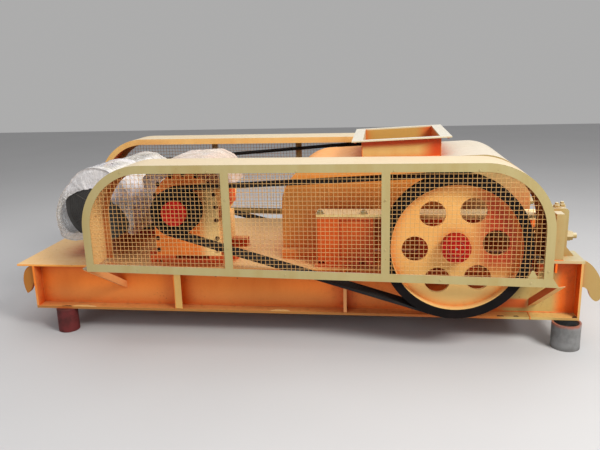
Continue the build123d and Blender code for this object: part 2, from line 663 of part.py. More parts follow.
def guard_face(x0, x1, zl, zr, inset):
    r = GUARD_R - inset
    top = GUARD_TOP - inset
    k = r * (1 - math.sqrt(0.5))
    a, b = x0 + inset, x1 - inset
    with BuildLine() as loop:
        Line((a, zl), (a, top - r))
        ThreePointArc((a, top - r), (a + k, top - k), (a + r, top))
        Line((a + r, top), (b - r, top))
        ThreePointArc((b - r, top), (b - k, top - k), (b, top - r))
        Line((b, top - r), (b, zr))
        Line((b, zr), (a, zl))
    make_face(loop.edges())


def guard_frame(x0, x1, bars):
    y0, y1 = GUARD_Y0, GUARD_Y0 + BAR_T
    with BuildSketch(xz(y1)) as outer:
        guard_face(x0, x1, GUARD_Z_L, GUARD_Z_R, 0)
    extrude(outer.sketch, amount=BAR_T)
    with BuildSketch(xz(y1 + 5)) as window:
        zl = guard_z(x0 + BAR_W, x0, x1) + BAR_W
        zr = guard_z(x1 - BAR_W, x0, x1) + BAR_W
        guard_face(x0, x1, zl, zr, BAR_W)
    extrude(window.sketch, amount=BAR_T + 10, mode=Mode.SUBTRACT)
    for x in bars:
        plate([(x - 25, guard_z(x - 25, x0, x1) + 10), (x + 25, guard_z(x + 25, x0, x1) + 10),
               (x + 25, GUARD_TOP - 10), (x - 25, GUARD_TOP - 10)], y0, y1)
    # foot that runs past the right end
    plate([(x1 - 5, GUARD_Z_R), (x1 + 40, GUARD_Z_R - 2), (x1 + 4, GUARD_Z_R + BAR_W),
           (x1 - 5, GUARD_Z_R + BAR_W)], y0, y1)


def guard_mesh(x0, x1, bars):
    y1 = GUARD_Y0 + BAR_T - 1
    with BuildSketch(xz(y1)) as panel:
        zl = guard_z(x0 + BAR_W, x0, x1) + BAR_W
        zr = guard_z(x1 - BAR_W, x0, x1) + BAR_W
        guard_face(x0, x1, zl, zr, BAR_W)
    extrude(panel.sketch, amount=BAR_T - 2)
    for x in bars:
        block(x - 25, x + 25, GUARD_Y0 - 5, GUARD_Y0 + BAR_T + 5, 300, GUARD_TOP, mode=Mode.SUBTRACT)


def guard_cover(x0, x1, notch_z):
    """Bent sheet behind the frame, with a lip along its inner edge."""
    y0, y1 = GUARD_Y0 + BAR_T, GUARD_Y1
    with BuildSketch(xz(y1)) as outer:
        guard_face(x0, x1, GUARD_Z_L, GUARD_Z_R, 0)
    extrude(outer.sketch, amount=y1 - y0)
    with BuildSketch(xz(y1 - RIM_T)) as inner:
        guard_face(x0, x1, GUARD_Z_L - 200, GUARD_Z_R - 200, RIM_T)
    extrude(inner.sketch, amount=y1 - y0 + 20, mode=Mode.SUBTRACT)
    with BuildSketch(xz(y1 + 5)) as lip:
        guard_face(x0, x1, GUARD_Z_L - 200, GUARD_Z_R - 200, 45)
    extrude(lip.sketch, amount=60, mode=Mode.SUBTRACT)
    # lower right corner cut to clear the frame's edge
    block(x1 - 60, x1 + 10, -6, y1 + 5, 300, notch_z, mode=Mode.SUBTRACT)


with BuildPart() as front_guard_frame:
    guard_frame(GUARD_X0, GUARD_X1, BAR_X)
front_guard_frame.part.label = "front_guard_frame"
export_step(front_guard_frame.part, "parts/front_guard_frame.step")

with BuildPart() as front_guard_mesh:
    guard_mesh(GUARD_X0, GUARD_X1, BAR_X)
front_guard_mesh.part.label = "front_guard_mesh"
export_step(front_guard_mesh.part, "parts/front_guard_mesh.step")

with BuildPart() as front_guard_cover:
    guard_cover(GUARD_X0, GUARD_X1, PAD_TOP + 4)
front_guard_cover.part.label = "front_guard_cover"
export_step(front_guard_cover.part, "parts/front_guard_cover.step")

with BuildPart() as second_guard_frame:
    guard_frame(R_GUARD_X0, R_GUARD_X1, R_BAR_X)
with BuildPart() as rear_guard_frame:
    mirror(second_guard_frame.part, about=Plane.XZ)
rear_guard_frame.part.label = "rear_guard_frame"
export_step(rear_guard_frame.part, "parts/rear_guard_frame.step")

with BuildPart() as second_guard_mesh:
    guard_mesh(R_GUARD_X0, R_GUARD_X1, R_BAR_X)
with BuildPart() as rear_guard_mesh:
    mirror(second_guard_mesh.part, about=Plane.XZ)
rear_guard_mesh.part.label = "rear_guard_mesh"
export_step(rear_guard_mesh.part, "parts/rear_guard_mesh.step")

with BuildPart() as second_guard_cover:
    guard_cover(R_GUARD_X0, R_GUARD_X1, 850)
with BuildPart() as rear_guard_cover:
    mirror(second_guard_cover.part, about=Plane.XZ)
rear_guard_cover.part.label = "rear_guard_cover"
export_step(rear_guard_cover.part, "parts/rear_guard_cover.step")


# angle-iron struts from the guard's lower corners down to the beam webs
def strut(p0, p1, side):
    """Angle iron between two stations, its upright leg along the line and its flat
    leg below and outwards, run on at both ends to be trimmed."""
    dx, dy, dz = p1[0] - p0[0], p1[1] - p0[1], p1[2] - p0[2]
    flat = math.hypot(dx, dy)
    grow = 80 / flat
    a = (p0[0] - dx * grow, p0[1] - dy * grow, p0[2] - dz * grow)
    n = flat + 160
    rise = dz * n / flat
    origin = Vector(a[0] - XC, a[1] - YC, a[2] + LIFT)
    along = Vector(dx / flat, dy / flat, 0)
    outward = Vector(dy / flat * side, -dx / flat * side, 0)
    with BuildSketch(Plane(origin=origin, x_dir=along, z_dir=outward)) as leg:
        # local y points up for one side and down for the other
        with BuildLine():
            Polyline((0, 0), (n, rise * side), (n, (rise + 50) * side), (0, 50 * side), close=True)
        make_face()
    extrude(leg.sketch, amount=5)
    slope = Vector(dx, dy, dz).normalized()
    normal = outward.cross(slope)
    with BuildSketch(Plane(origin=origin, x_dir=outward, z_dir=normal)) as foot:
        with BuildLine():
            Polyline((0, 0), (50, 0), (50, n * 1.3), (0, n * 1.3), close=True)
        make_face()
    extrude(foot.sketch, amount=5 * side)


def frame_struts(left, right):
    """The two struts of one guard, moved along the machine by left and right."""
    strut((509 + left, -198, 487), (629 + left, 85, 278), -1)
    strut((3363 + right, -198, 434), (3272 + right, 85, 206), 1)
    block(-300, 3700, -400, GUARD_Y0 + BAR_T, -200, 900, mode=Mode.SUBTRACT)
    block(-300, 3700, FLANGE_W - WEB_T, 400, -200, 900, mode=Mode.SUBTRACT)
    # nothing stands inside the bent sheet
    block(400 + left, 507 + left, GUARD_Y0 + BAR_T, GUARD_Y1, GUARD_Z_L, 900, mode=Mode.SUBTRACT)
    block(3323 + right, 3500 + right, GUARD_Y0 + BAR_T, GUARD_Y1, GUARD_Z_R - 1, 900, mode=Mode.SUBTRACT)


with BuildPart() as near_struts:
    frame_struts(0, 0)
with BuildPart() as second_struts:
    frame_struts(-500, R_GUARD_X1 - GUARD_X1)
with BuildPart() as guard_struts:
    add(near_struts.part)
    mirror(second_struts.part, about=Plane.XZ)
guard_struts.part.label = "guard_struts"
export_step(guard_struts.part, "parts/guard_struts.step")
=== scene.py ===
import json
import math
import random

import bpy
from mathutils import Matrix, Vector, noise


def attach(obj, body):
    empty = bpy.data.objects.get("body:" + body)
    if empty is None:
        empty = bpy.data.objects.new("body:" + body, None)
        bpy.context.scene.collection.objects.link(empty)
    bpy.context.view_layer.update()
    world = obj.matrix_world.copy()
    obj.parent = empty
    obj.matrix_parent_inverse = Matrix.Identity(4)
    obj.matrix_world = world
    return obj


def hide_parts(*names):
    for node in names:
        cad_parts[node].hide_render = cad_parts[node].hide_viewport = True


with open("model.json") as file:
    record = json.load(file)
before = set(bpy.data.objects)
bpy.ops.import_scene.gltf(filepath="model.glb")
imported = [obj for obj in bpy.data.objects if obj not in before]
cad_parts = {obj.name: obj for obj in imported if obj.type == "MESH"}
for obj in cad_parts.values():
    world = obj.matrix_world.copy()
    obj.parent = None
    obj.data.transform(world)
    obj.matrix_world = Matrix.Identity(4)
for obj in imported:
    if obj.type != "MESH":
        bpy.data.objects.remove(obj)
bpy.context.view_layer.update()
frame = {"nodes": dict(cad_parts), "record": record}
scene = bpy.context.scene

# Stations are millimetres: x from the left end of the base frame, y from its
# front flange edge, z from a level LIFT above the floor, as in the CAD source.
XC, YC, LIFT = 1788.0, 668.0, 12.0


def P(x, y, z):
    return Vector(((x - XC) / 1000, (y - YC) / 1000, (z + LIFT) / 1000))


def ry(y):
    return 2 * YC - y


MOVE_X, FIX_X, ROLL_Z = 2786.0, 2156.0, 653.0
F_MOTOR_X, MOTOR_Z = 1088.0, 860.0
R_MOTOR_X, R_MOTOR_Z = 430.0, 815.0
BIG_R, BIG_IN, SMALL_R = 424.0, 381.0, 136.0
DECK = 463.0
G_TOP, G_R = 1162.0, 400.0
G_ZL, G_ZR = 488.0, 434.0
GX0, GX1, GBARS = 500.0, 3330.0, (1425.0, 2375.0)
RX0, RX1, RBARS = -44.0, 2700.0, (904.0, 1644.0)


# ---------------------------------------------------------------- mesh helper
class Build:
    """Collects faces in station millimetres and makes one object of them."""

    def __init__(self):
        self.v, self.f = [], []

    def add(self, verts, faces):
        n = len(self.v)
        self.v += [tuple(p) for p in verts]
        self.f += [tuple(i + n for i in f) for f in faces]

    def box(self, x0, x1, y0, y1, z0, z1, c=0.0):
        """A bar with its long edges broken by c."""
        if c <= 0:
            v = [(x, y, z) for z in (z0, z1) for y in (y0, y1) for x in (x0, x1)]
            self.add(v, [(0, 2, 3, 1), (4, 5, 7, 6), (0, 1, 5, 4), (2, 6, 7, 3), (0, 4, 6, 2), (1, 3, 7, 5)])
            return
        lay = []
        for z, k in ((z0, c), (z0 + c, 0.0), (z1 - c, 0.0), (z1, c)):
            lay.append([(x0 + c, y0 + k, z), (x1 - c, y0 + k, z), (x1 - k, y0 + c, z), (x1 - k, y1 - c, z),
                        (x1 - c, y1 - k, z), (x0 + c, y1 - k, z), (x0 + k, y1 - c, z), (x0 + k, y0 + c, z)])
        v = [p for ring in lay for p in ring]
        f = [tuple(range(7, -1, -1)), tuple(range(24, 32))]
        for i in range(3):
            for j in range(8):
                f.append((i * 8 + j, i * 8 + (j + 1) % 8, (i + 1) * 8 + (j + 1) % 8, (i + 1) * 8 + j))
        self.add(v, f)

    def rings(self, rings, closed=False, caps=True):
        """Skin over rings of equal length, each ring closed on itself."""
        n = len(rings[0])
        v = [p for r in rings for p in r]
        f = []
        m = len(rings)
        for i in range(m if closed else m - 1):
            a, b = i * n, ((i + 1) % m) * n
            for j in range(n):
                k = (j + 1) % n
                f.append((a + j, a + k, b + k, b + j))
        if caps and not closed:
            f.append(tuple(range(n - 1, -1, -1)))
            f.append(tuple(range((m - 1) * n, m * n)))
        self.add(v, f)

    def tube(self, pts, r, n=8, closed=False, caps=True, radii=None, wobble=0.0):
        """Round bar along points, by parallel transport."""
        pts = [Vector(p) for p in pts]
        m = len(pts)
        out = []
        side = None
        for i, p in enumerate(pts):
            a = pts[(i - 1) % m] if (closed or i) else p
            b = pts[(i + 1) % m] if (closed or i < m - 1) else p
            t = (b - a).normalized()
            if side is None:
                ref = Vector((0, 0, 1)) if abs(t.z) < 0.9 else Vector((0, 1, 0))
                side = t.cross(ref).normalized()
            side = (side - t * side.dot(t)).normalized()
            up = t.cross(side)
            rr = radii[i] if radii else r
            if wobble:
                rr *= 1 + wobble * noise.noise(p * 0.05)
            out.append([tuple(p + side * (rr * math.cos(q)) + up * (rr * math.sin(q)))
                        for q in (2 * math.pi * j / n for j in range(n))])
        self.rings(out, closed, caps)

    def lathe(self, x, z, profile, n=48, a0=0.0, a1=2 * math.pi, closed_profile=True):
        """Profile of (radius, y) turned about the cross axis through (x, z)."""
        full = abs(a1 - a0 - 2 * math.pi) < 1e-6
        m = n if full else n + 1
        rings = []
        for i in range(m):
            a = a0 + (a1 - a0) * i / n
            rings.append([(x + r * math.cos(a), y, z + r * math.sin(a)) for r, y in profile])
        v = [p for r in rings for p in r]
        k = len(profile)
        f = []
        for i in range(m if full else m - 1):
            a, b = i * k, ((i + 1) % m) * k
            for j in range(k if closed_profile else k - 1):
                q = (j + 1) % k
                f.append((a + j, b + j, b + q, a + q))
        self.add(v, f)

    def prism(self, p, axis, r, h, n=6, chamfer=0.0, turn=0.0, taper=1.0):
        """A nut, bolt head or short round bar standing on p along axis."""
        p, w = Vector(p), Vector(axis).normalized()
        ref = Vector((0, 0, 1)) if abs(w.z) < 0.9 else Vector((1, 0, 0))
        u = w.cross(ref).normalized()
        v = w.cross(u)
        prof = [(r, 0.0), (r, h - chamfer), (r - chamfer, h)] if chamfer else [(r, 0.0), (r * taper, h)]
        rings = [[tuple(p + w * s + (u * math.cos(a) + v * math.sin(a)) * rr)
                  for a in (turn + 2 * math.pi * j / n for j in range(n))] for rr, s in prof]
        self.rings(rings)

    def bolt(self, p, axis, d, turn=0.0, washer=True, stud=0.0):
        """Hexagon bolt head of nominal diameter d, on a washer."""
        p, w = Vector(p), Vector(axis).normalized()
        s = 0.0
        if washer:
            self.prism(p, w, d * 1.15, d * 0.18, 16)
            s = d * 0.18
        self.prism(p + w * s, w, d * 0.9, d * 0.66, 6, d * 0.12, turn)
        if stud:
            self.prism(p + w * (s + d * 0.66), w, d * 0.5, stud, 10, d * 0.1)

    def bead(self, a, b, r=4.0, step=7.0):
        """Weld bead between two points, with its ripples."""
        a, b = Vector(a), Vector(b)
        n = max(2, int((b - a).length / step))
        pts, radii = [], []
        for i in range(n + 1):
            p = a.lerp(b, i / n)
            pts.append(p + Vector((noise.noise(p * 0.03), noise.noise(p * 0.03 + Vector((9, 0, 0))),
                                   noise.noise(p * 0.03 + Vector((0, 9, 0))))) * (r * 0.25))
            radii.append(r * (1.0 + (0.16 if i % 2 else -0.16)) * (0.92 + 0.2 * noise.noise(p * 0.021)))
        self.tube(pts, r, 6, radii=radii)

    def make(self, name, material, body, sharp=32.0, smooth=True):
        me = bpy.data.meshes.new(name)
        me.from_pydata([tuple(P(*p)) for p in self.v], [], self.f)
        me.validate()
        me.materials.append(material)
        if smooth:
            me.shade_smooth()
            me.set_sharp_from_angle(angle=math.radians(sharp))
        me.update()
        ob = bpy.data.objects.new(name, me)
        scene.collection.objects.link(ob)
        import_normals(ob)
        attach(ob, body)
        return ob


def import_normals(ob):
    """Point the faces outwards."""
    import bmesh
    bm = bmesh.new()
    bm.from_mesh(ob.data)
    bmesh.ops.recalc_face_normals(bm, faces=bm.faces)
    bm.to_mesh(ob.data)
    bm.free()


STATIC = "crusher_frame"


# ------------------------------------------------------------------ materials
class Nodes:
    def __init__(self, name):
        self.mat = bpy.data.materials.new(name)
        self.mat.use_nodes = True
        self.t = self.mat.node_tree
        self.bsdf = self.t.nodes["Principled BSDF"]
        self.co = self.t.nodes.new("ShaderNodeTexCoord").outputs["Object"]

    def link(self, a, b):
        self.t.links.new(a, b)

    def put(self, node, key, value):
        s = node.inputs[key]
        if hasattr(value, "is_linked") or hasattr(value, "links"):
            self.link(value, s)
        else:
            s.default_value = value

    def noise(self, scale, detail=3.0, rough=0.55, vec=None, dist=0.0):
        n = self.t.nodes.new("ShaderNodeTexNoise")
        self.link(vec or self.co, n.inputs["Vector"])
        n.inputs["Scale"].default_value = scale
        n.inputs["Detail"].default_value = detail
        n.inputs["Roughness"].default_value = rough
        n.inputs["Distortion"].default_value = dist
        return n.outputs["Fac"]

    def scaled(self, sx, sy, sz):
        n = self.t.nodes.new("ShaderNodeVectorMath")
        n.operation = "MULTIPLY"
        self.link(self.co, n.inputs[0])
        n.inputs[1].default_value = (sx, sy, sz)
        return n.outputs[0]

    def voronoi(self, scale, feature="F1", vec=None):
        n = self.t.nodes.new("ShaderNodeTexVoronoi")
        n.feature = feature
        self.link(vec or self.co, n.inputs["Vector"])
        n.inputs["Scale"].default_value = scale
        return n

    def ramp(self, fac, lo, hi, a=0.0, b=1.0, smooth=True):
        n = self.t.nodes.new("ShaderNodeMapRange")
        n.interpolation_type = "SMOOTHSTEP" if smooth else "LINEAR"
        self.link(fac, n.inputs["Value"])
        n.inputs["From Min"].default_value = lo
        n.inputs["From Max"].default_value = hi
        n.inputs["To Min"].default_value = a
        n.inputs["To Max"].default_value = b
        return n.outputs["Result"]

    def math(self, op, a, b=None):
        n = self.t.nodes.new("ShaderNodeMath")
        n.operation = op
        for i, v in enumerate((a, b)):
            if v is None:
                continue
            if isinstance(v, (int, float)):
                n.inputs[i].default_value = v
            else:
                self.link(v, n.inputs[i])
        return n.outputs[0]

    def mix(self, fac, a, b):
        n = self.t.nodes.new("ShaderNodeMix")
        n.data_type = "RGBA"
        ins = [s for s in n.inputs if s.type == "RGBA"]
        f = [s for s in n.inputs if s.type == "VALUE"][0]
        if isinstance(fac, (int, float)):
            f.default_value = fac
        else:
            self.link(fac, f)
        for s, v in zip(ins, (a, b)):
            if isinstance(v, (tuple, list)):
                s.default_value = (v[0], v[1], v[2], 1.0)
            else:
                self.link(v, s)
        return [s for s in n.outputs if s.type == "RGBA"][0]

    def bump(self, height, strength, distance=0.002, normal=None):
        n = self.t.nodes.new("ShaderNodeBump")
        n.inputs["Strength"].default_value = strength
        n.inputs["Distance"].default_value = distance
        self.link(height, n.inputs["Height"])
        if normal is not None:
            self.link(normal, n.inputs["Normal"])
        return n.outputs["Normal"]

    def facing(self, axis, flat=False):
        g = self.t.nodes.new("ShaderNodeNewGeometry")
        s = self.t.nodes.new("ShaderNodeSeparateXYZ")
        self.link(g.outputs["True Normal" if flat else "Normal"], s.inputs[0])
        return s.outputs[axis]

    def up(self, flat=False):
        return self.facing("Z", flat)

    def along(self, axis):
        s = self.t.nodes.new("ShaderNodeSeparateXYZ")
        self.link(self.co, s.inputs[0])
        return s.outputs[axis]

    def z(self):
        return self.along("Z")

    def ao(self, distance=0.3, samples=6):
        n = self.t.nodes.new("ShaderNodeAmbientOcclusion")
        n.samples = samples
        n.inputs["Distance"].default_value = distance
        return n.outputs["AO"]

    def out(self, color, rough, normal=None, **fixed):
        b = self.bsdf
        self.put(b, "Base Color", color if not isinstance(color, (tuple, list)) else (*color[:3], 1.0))
        self.put(b, "Roughness", rough)
        if normal is not None:
            self.link(normal, b.inputs["Normal"])
        for k, v in fixed.items():
            b.inputs[k.replace("_", " ")].default_value = v
        return self.mat


def paint(name, base, deep, pale, pale_top=0.8, rust=1.0, rough=0.42, reach=0.3, tint=None, over=None,
          flat=False, shelter=0.35):
    """Sprayed enamel flecked with rust. Dust and painted top light make its tops paler, painted shade its corners
    deeper.
    tint(nodes, colour) may shift the enamel's colour along the piece, and over the colour in its corners too; most such
    shifts are painted light and shade."""
    m = Nodes(name)
    big = m.noise(1.7, 4.0, 0.6)
    fine = m.noise(23.0, 5.0, 0.6)
    streak = m.noise(1.0, 4.0, 0.6, vec=m.scaled(9.0, 9.0, 1.2))
    open_ = m.ramp(m.ao(reach), 0.28, 0.93)
    tone = m.mix(m.ramp(streak, 0.35, 0.7), base, tuple(c * k for c, k in zip(base, (0.94, 0.86, 0.74))))
    tone = m.mix(m.ramp(big, 0.35, 0.75, 0.0, 0.45), tone, tuple(min(1, c * k) for c, k in zip(base, (1.05, 1.12, 1.28))))
    if tint:
        tone = tint(m, tone)
    # painted shade: the deep colour where other parts hem the surface in
    col = m.mix(open_, deep, tone)
    if over:
        col = over(m, col)
    # Dust and painted top light, pale, where the surface faces up and nothing hangs over it
    pale_top_mask = m.math("MULTIPLY", m.ramp(m.up(flat), 0.25, 0.95), m.ramp(open_, shelter - 0.25, shelter + 0.35))
    spread = m.math("MULTIPLY", pale_top_mask, m.ramp(big, 0.1, 0.55, pale_top * 0.72, pale_top))
    col = m.mix(spread, col, pale(m) if callable(pale) else pale)
    # rust flecks and a few larger spots
    v = m.voronoi(13.0)
    keep = m.ramp(m.noise(3.1, 3.0), 0.56, 0.66)
    dot = m.math("MULTIPLY", m.ramp(v.outputs["Distance"], 0.045, 0.11, 1.0, 0.0), keep)
    v2 = m.voronoi(47.0)
    keep2 = m.ramp(m.noise(5.3, 2.0, vec=m.scaled(1.0, 1.3, 1.1)), 0.57, 0.68)
    dot2 = m.math("MULTIPLY", m.ramp(v2.outputs["Distance"], 0.06, 0.16, 1.0, 0.0), keep2)
    dots = m.math("MULTIPLY", m.math("MAXIMUM", dot, dot2), rust)
    col = m.mix(dots, col, (0.16, 0.035, 0.012))
    # painted shade: darker in the creases, blotched by noise
    crease_shade = m.math("MULTIPLY", m.ramp(fine, 0.5, 0.75), m.ramp(open_, 0.0, 0.6, 0.45, 0.04))
    col = m.mix(crease_shade, col, (0.13, 0.035, 0.012))
    r = m.ramp(fine, 0.3, 0.8, rough - 0.07, rough + 0.12)
    nrm = m.bump(m.noise(150.0, 2.0), 0.12, 0.0006)
    nrm = m.bump(m.noise(7.0, 3.0), 0.25, 0.0025, nrm)
    return m.out(col, r, nrm, Specular_IOR_Level=0.25)


def station(x):
    return (x - XC) / 1000


def beam_tint(m, col):
    """Beams, painted light and shade: tan low on the web, fading up under the deck; painted shade beside the raised end
    and a deeper orange one at the end; tan painted light on faces turned to the right.
    """
    z = m.z()
    up = m.ramp(m.up(), 0.5, 0.9)
    # painted light: tan low on the web, fading up under the deck
    foot = m.ramp(z, 0.19, 0.36, 0.62, 0.0)
    col = m.mix(foot, col, (0.70, 0.34, 0.095))
    # painted light and shade on the foot: its top lighter, its edge darker
    low = m.ramp(z, 0.175, 0.185, 0.9, 0.0)
    col = m.mix(low, col, m.mix(up, (0.32, 0.155, 0.036), (0.60, 0.30, 0.075)))
    x = m.along("X")
    # painted shade beside the raised end
    end_shade = m.math("MULTIPLY", m.ramp(x, station(2990), station(3060)), m.ramp(x, station(3250), station(3300), 1.0, 0.0))
    col = m.mix(m.math("MULTIPLY", end_shade, 0.85), col, (0.43, 0.18, 0.028))
    # painted shade: deeper orange at the end
    col = m.mix(m.ramp(x, station(3300), station(3400), 0.0, 0.75), col, (0.98, 0.19, 0.009))
    # painted light: faces turned to the right end, towards the lamp, are tan, and so is the raised flange
    return m.mix(m.ramp(m.facing("X"), 0.6, 0.95, 0.0, 0.8), col, (0.72, 0.42, 0.14))


def pad_over(m, col):
    """Painted light, tan to its edges: the raised flange, the foot's upper side and the web before the right end; with
    a red painted shadow band across that web.
    """
    x, z = m.along("X"), m.z()
    front = m.ramp(m.along("Y"), -0.2, 0.2, 1.0, 0.0)
    # painted light: tan on the web before the right end
    end = m.math("MULTIPLY", m.ramp(x, station(3060), station(3170)), m.ramp(x, station(3400), station(3475), 1.0, 0.0))
    end = m.math("MULTIPLY", end, front)
    end = m.math("MULTIPLY", end, m.ramp(z, 0.44, 0.47, 0.95, 0.0))
    col = m.mix(end, col, (0.44, 0.325, 0.108))
    # painted shadow: a red band across the web
    shade = m.math("MULTIPLY", m.ramp(x, station(3040), station(3110)), m.ramp(x, station(3240), station(3290), 1.0, 0.0))
    shade = m.math("MULTIPLY", shade, m.math("MULTIPLY", m.ramp(z, 0.195, 0.215), m.ramp(z, 0.255, 0.275, 1.0, 0.0)))
    shade = m.math("MULTIPLY", shade, front)
    col = m.mix(m.math("MULTIPLY", shade, 0.92), col, (0.60, 0.092, 0.009))
    # painted light: the foot's upper side lighter
    foot = m.math("MULTIPLY", m.ramp(z, 0.178, 0.184, 1.0, 0.0), m.ramp(m.up(), 0.5, 0.9))
    col = m.mix(m.math("MULTIPLY", foot, 0.6), col, (0.70, 0.36, 0.12))
    # painted light: tan on the foot's lower edge and on the right end's front rim
    lower = m.math("MULTIPLY", m.ramp(x, station(3060), station(3200), 0.0, 0.85), m.ramp(z, 0.180, 0.186, 1.0, 0.0))
    rim = m.math("MULTIPLY", m.ramp(x, station(3546), station(3549), 0.0, 0.85), m.ramp(m.facing("Y"), -0.9, -0.6, 1.0, 0.0))
    col = m.mix(m.math("MULTIPLY", m.math("MAXIMUM", lower, rim), front), col, (0.50, 0.345, 0.118))
    # painted light: pale tan on the raised flange
    return m.mix(m.ramp(m.z(), 0.525, 0.529, 0.0, 0.92), col, (0.46, 0.385, 0.205))


def beam_pale(m):
    """Dust and painted top light on the beams, paler on the raised end."""
    return m.mix(m.ramp(m.z(), 0.50, 0.53), (0.66, 0.36, 0.11), (0.48, 0.44, 0.29))


def hopper_tint(m, col):
    """Hopper: tan at the left, red orange to the right, painted shade outside under the lip, and painted light on the
    wall that faces right.
    """
    x, y = m.along("X"), m.along("Y")
    z = m.math("SUBTRACT", m.z(), m.math("MULTIPLY", x, 0.0407))
    outside = m.ramp(m.math("ABSOLUTE", y), 0.3585, 0.3605)
    # painted shade under the lip outside
    lip = m.math("MULTIPLY", m.ramp(z, 1.172, 1.208, 0.0, 0.95), outside)
    side = m.ramp(x, station(2570), station(2700), 0.0, 0.92)
    inner = m.math("MULTIPLY", m.math("SUBTRACT", 1.0, outside), m.ramp(x, station(2590), station(2715), 0.0, 0.75))
    band = m.math("MAXIMUM", lip, m.math("MAXIMUM", m.math("MULTIPLY", side, outside), inner))
    upright = m.ramp(m.math("ABSOLUTE", m.facing("Z")), 0.3, 0.8, 1.0, 0.0)
    below = m.ramp(z, 1.2258, 1.2268, 1.0, 0.0)
    col = m.mix(m.math("MULTIPLY", m.math("SUBTRACT", 1.0, outside), below), col, (0.50, 0.27, 0.065))
    col = m.mix(m.math("MULTIPLY", m.math("MULTIPLY", band, upright), below), col, (0.56, 0.034, 0.004))
    # painted light: the rim's edge and the wall that faces the lamp on the right stay pale
    col = m.mix(m.ramp(z, 1.2258, 1.2268), col, (0.62, 0.52, 0.34))
    return m.mix(m.ramp(m.facing("X"), 0.6, 0.95, 0.0, 0.85), col, (0.66, 0.55, 0.38))


def house_tint(m, col):
    """Housing: painted light, tan towards the right end."""
    return m.mix(m.ramp(m.along("X"), station(2650), station(2950), 0.0, 0.9), col, (0.38, 0.34, 0.15))


def plate_tint(m, col):
    """Motor: painted light, tan at the right side of its end plate."""
    tan = m.math("MULTIPLY", m.ramp(m.along("X"), station(1150), station(1240)), m.ramp(m.z(), 0.98, 1.05, 1.0, 0.2))
    return m.mix(tan, col, (1.0, 0.66, 0.26))


def disc_tint(m, col):
    """Pulley disc: painted light, tan low down, and painted shade, redder to the right."""
    col = m.mix(m.ramp(m.z(), 0.30, 0.62, 0.75, 0.0), col, (0.54, 0.41, 0.16))
    right = m.math("MULTIPLY", m.ramp(m.along("X"), station(2830), station(3000), 0.0, 0.94), m.ramp(m.z(), 0.42, 0.60))
    return m.mix(right, col, (0.40, 0.018, 0.002))


def cover_tint(m, col):
    """Guard sheet: painted shade, red orange inside its right end."""
    x = m.along("X")
    inward = m.ramp(m.facing("X"), -0.9, -0.4, 1.0, 0.0)
    right_end = m.math("MULTIPLY", m.ramp(x, station(2900), station(3150)), 0.75)
    return m.mix(m.math("MULTIPLY", right_end, m.math("MAXIMUM", inward, 0.35)), col, (0.46, 0.075, 0.010))


def cover_over(m, col):
    """Painted light, bright tan, inside the near sheet's left end; painted shade, near black inside its right bow and
    red inside the far one's left end.
    """
    x, y = m.along("X"), m.along("Y")
    inward = m.ramp(m.facing("X"), 0.3, 0.7)
    near = m.math("MULTIPLY", m.ramp(x, station(520), station(640), 0.8, 0.0), m.ramp(y, 0.0, 0.1, 1.0, 0.0))
    col = m.mix(m.math("MULTIPLY", inward, near), col, (0.96, 0.62, 0.24))
    # painted shade: near black inside the right bow
    bow = m.math("MULTIPLY", m.ramp(m.facing("X"), -0.6, -0.25, 0.85, 0.0), m.ramp(x, station(3130), station(3230)))
    bow = m.math("MULTIPLY", bow, m.ramp(y, 0.0, 0.1, 1.0, 0.0))
    col = m.mix(bow, col, (0.085, 0.014, 0.005))
    below = m.math("MAXIMUM", inward, m.ramp(m.facing("Z"), -0.4, -0.1, 1.0, 0.0))
    far = m.math("MULTIPLY", m.ramp(x, station(300), station(500), 0.85, 0.0), m.ramp(y, 0.4, 0.5))
    return m.mix(m.math("MULTIPLY", below, far), col, (0.95, 0.13, 0.012))


def strut_over(m, col):
    """Struts at the right end, painted light and shade: red on faces turned away from the lamp on the right, tan on
    faces turned to it.
    """
    right = m.ramp(m.along("X"), station(2600), station(2700), 0.0, 0.85)
    leg = m.mix(m.ramp(m.facing("X"), -0.15, 0.15), (0.52, 0.060, 0.010), (0.70, 0.44, 0.17))
    return m.mix(right, col, leg)


def roof_pale(m):
    """Dust and painted top light on the housing: cream, with an orange painted shade to the left of the hopper."""
    return m.mix(m.ramp(m.along("X"), station(2190), station(2260), 1.0, 0.0), CREAM, (0.80, 0.36, 0.12))


CREAM = (0.60, 0.535, 0.44)
# copies of one enamel in lighter and deeper tones: the tan ones are painted light for parts in the light, the deeper
# ones painted shade
PAINT = paint("machine_paint", (0.80, 0.30, 0.055), (0.60, 0.085, 0.008), (0.78, 0.64, 0.44))
HOUSE = paint("housing_orange", (0.82, 0.32, 0.060), (0.60, 0.085, 0.008), roof_pale, pale_top=0.95, tint=house_tint, flat=True, shelter=0.05)
HOPPER = paint("hopper_orange", (0.66, 0.40, 0.125), (0.66, 0.090, 0.008), (0.58, 0.54, 0.46), pale_top=1.0, rust=0.5, tint=hopper_tint,
               flat=True, reach=0.08, shelter=0.05)
TAN = paint("frame_tan", (0.40, 0.325, 0.145), (0.38, 0.22, 0.070), (0.56, 0.52, 0.42), rust=0.8, reach=0.2)
# painted light: the rails' enamel is over-bright, standing in for the light on them
RAIL = paint("rail_tan", (1.0, 0.76, 0.32), (0.74, 0.36, 0.09), (1.0, 0.84, 0.52), rust=0.8, reach=0.05, shelter=0.0)
COVER = paint("cover_tan", (0.72, 0.43, 0.14), (0.48, 0.085, 0.012), (0.60, 0.535, 0.40), rust=0.8, reach=0.25, tint=cover_tint, over=cover_over)
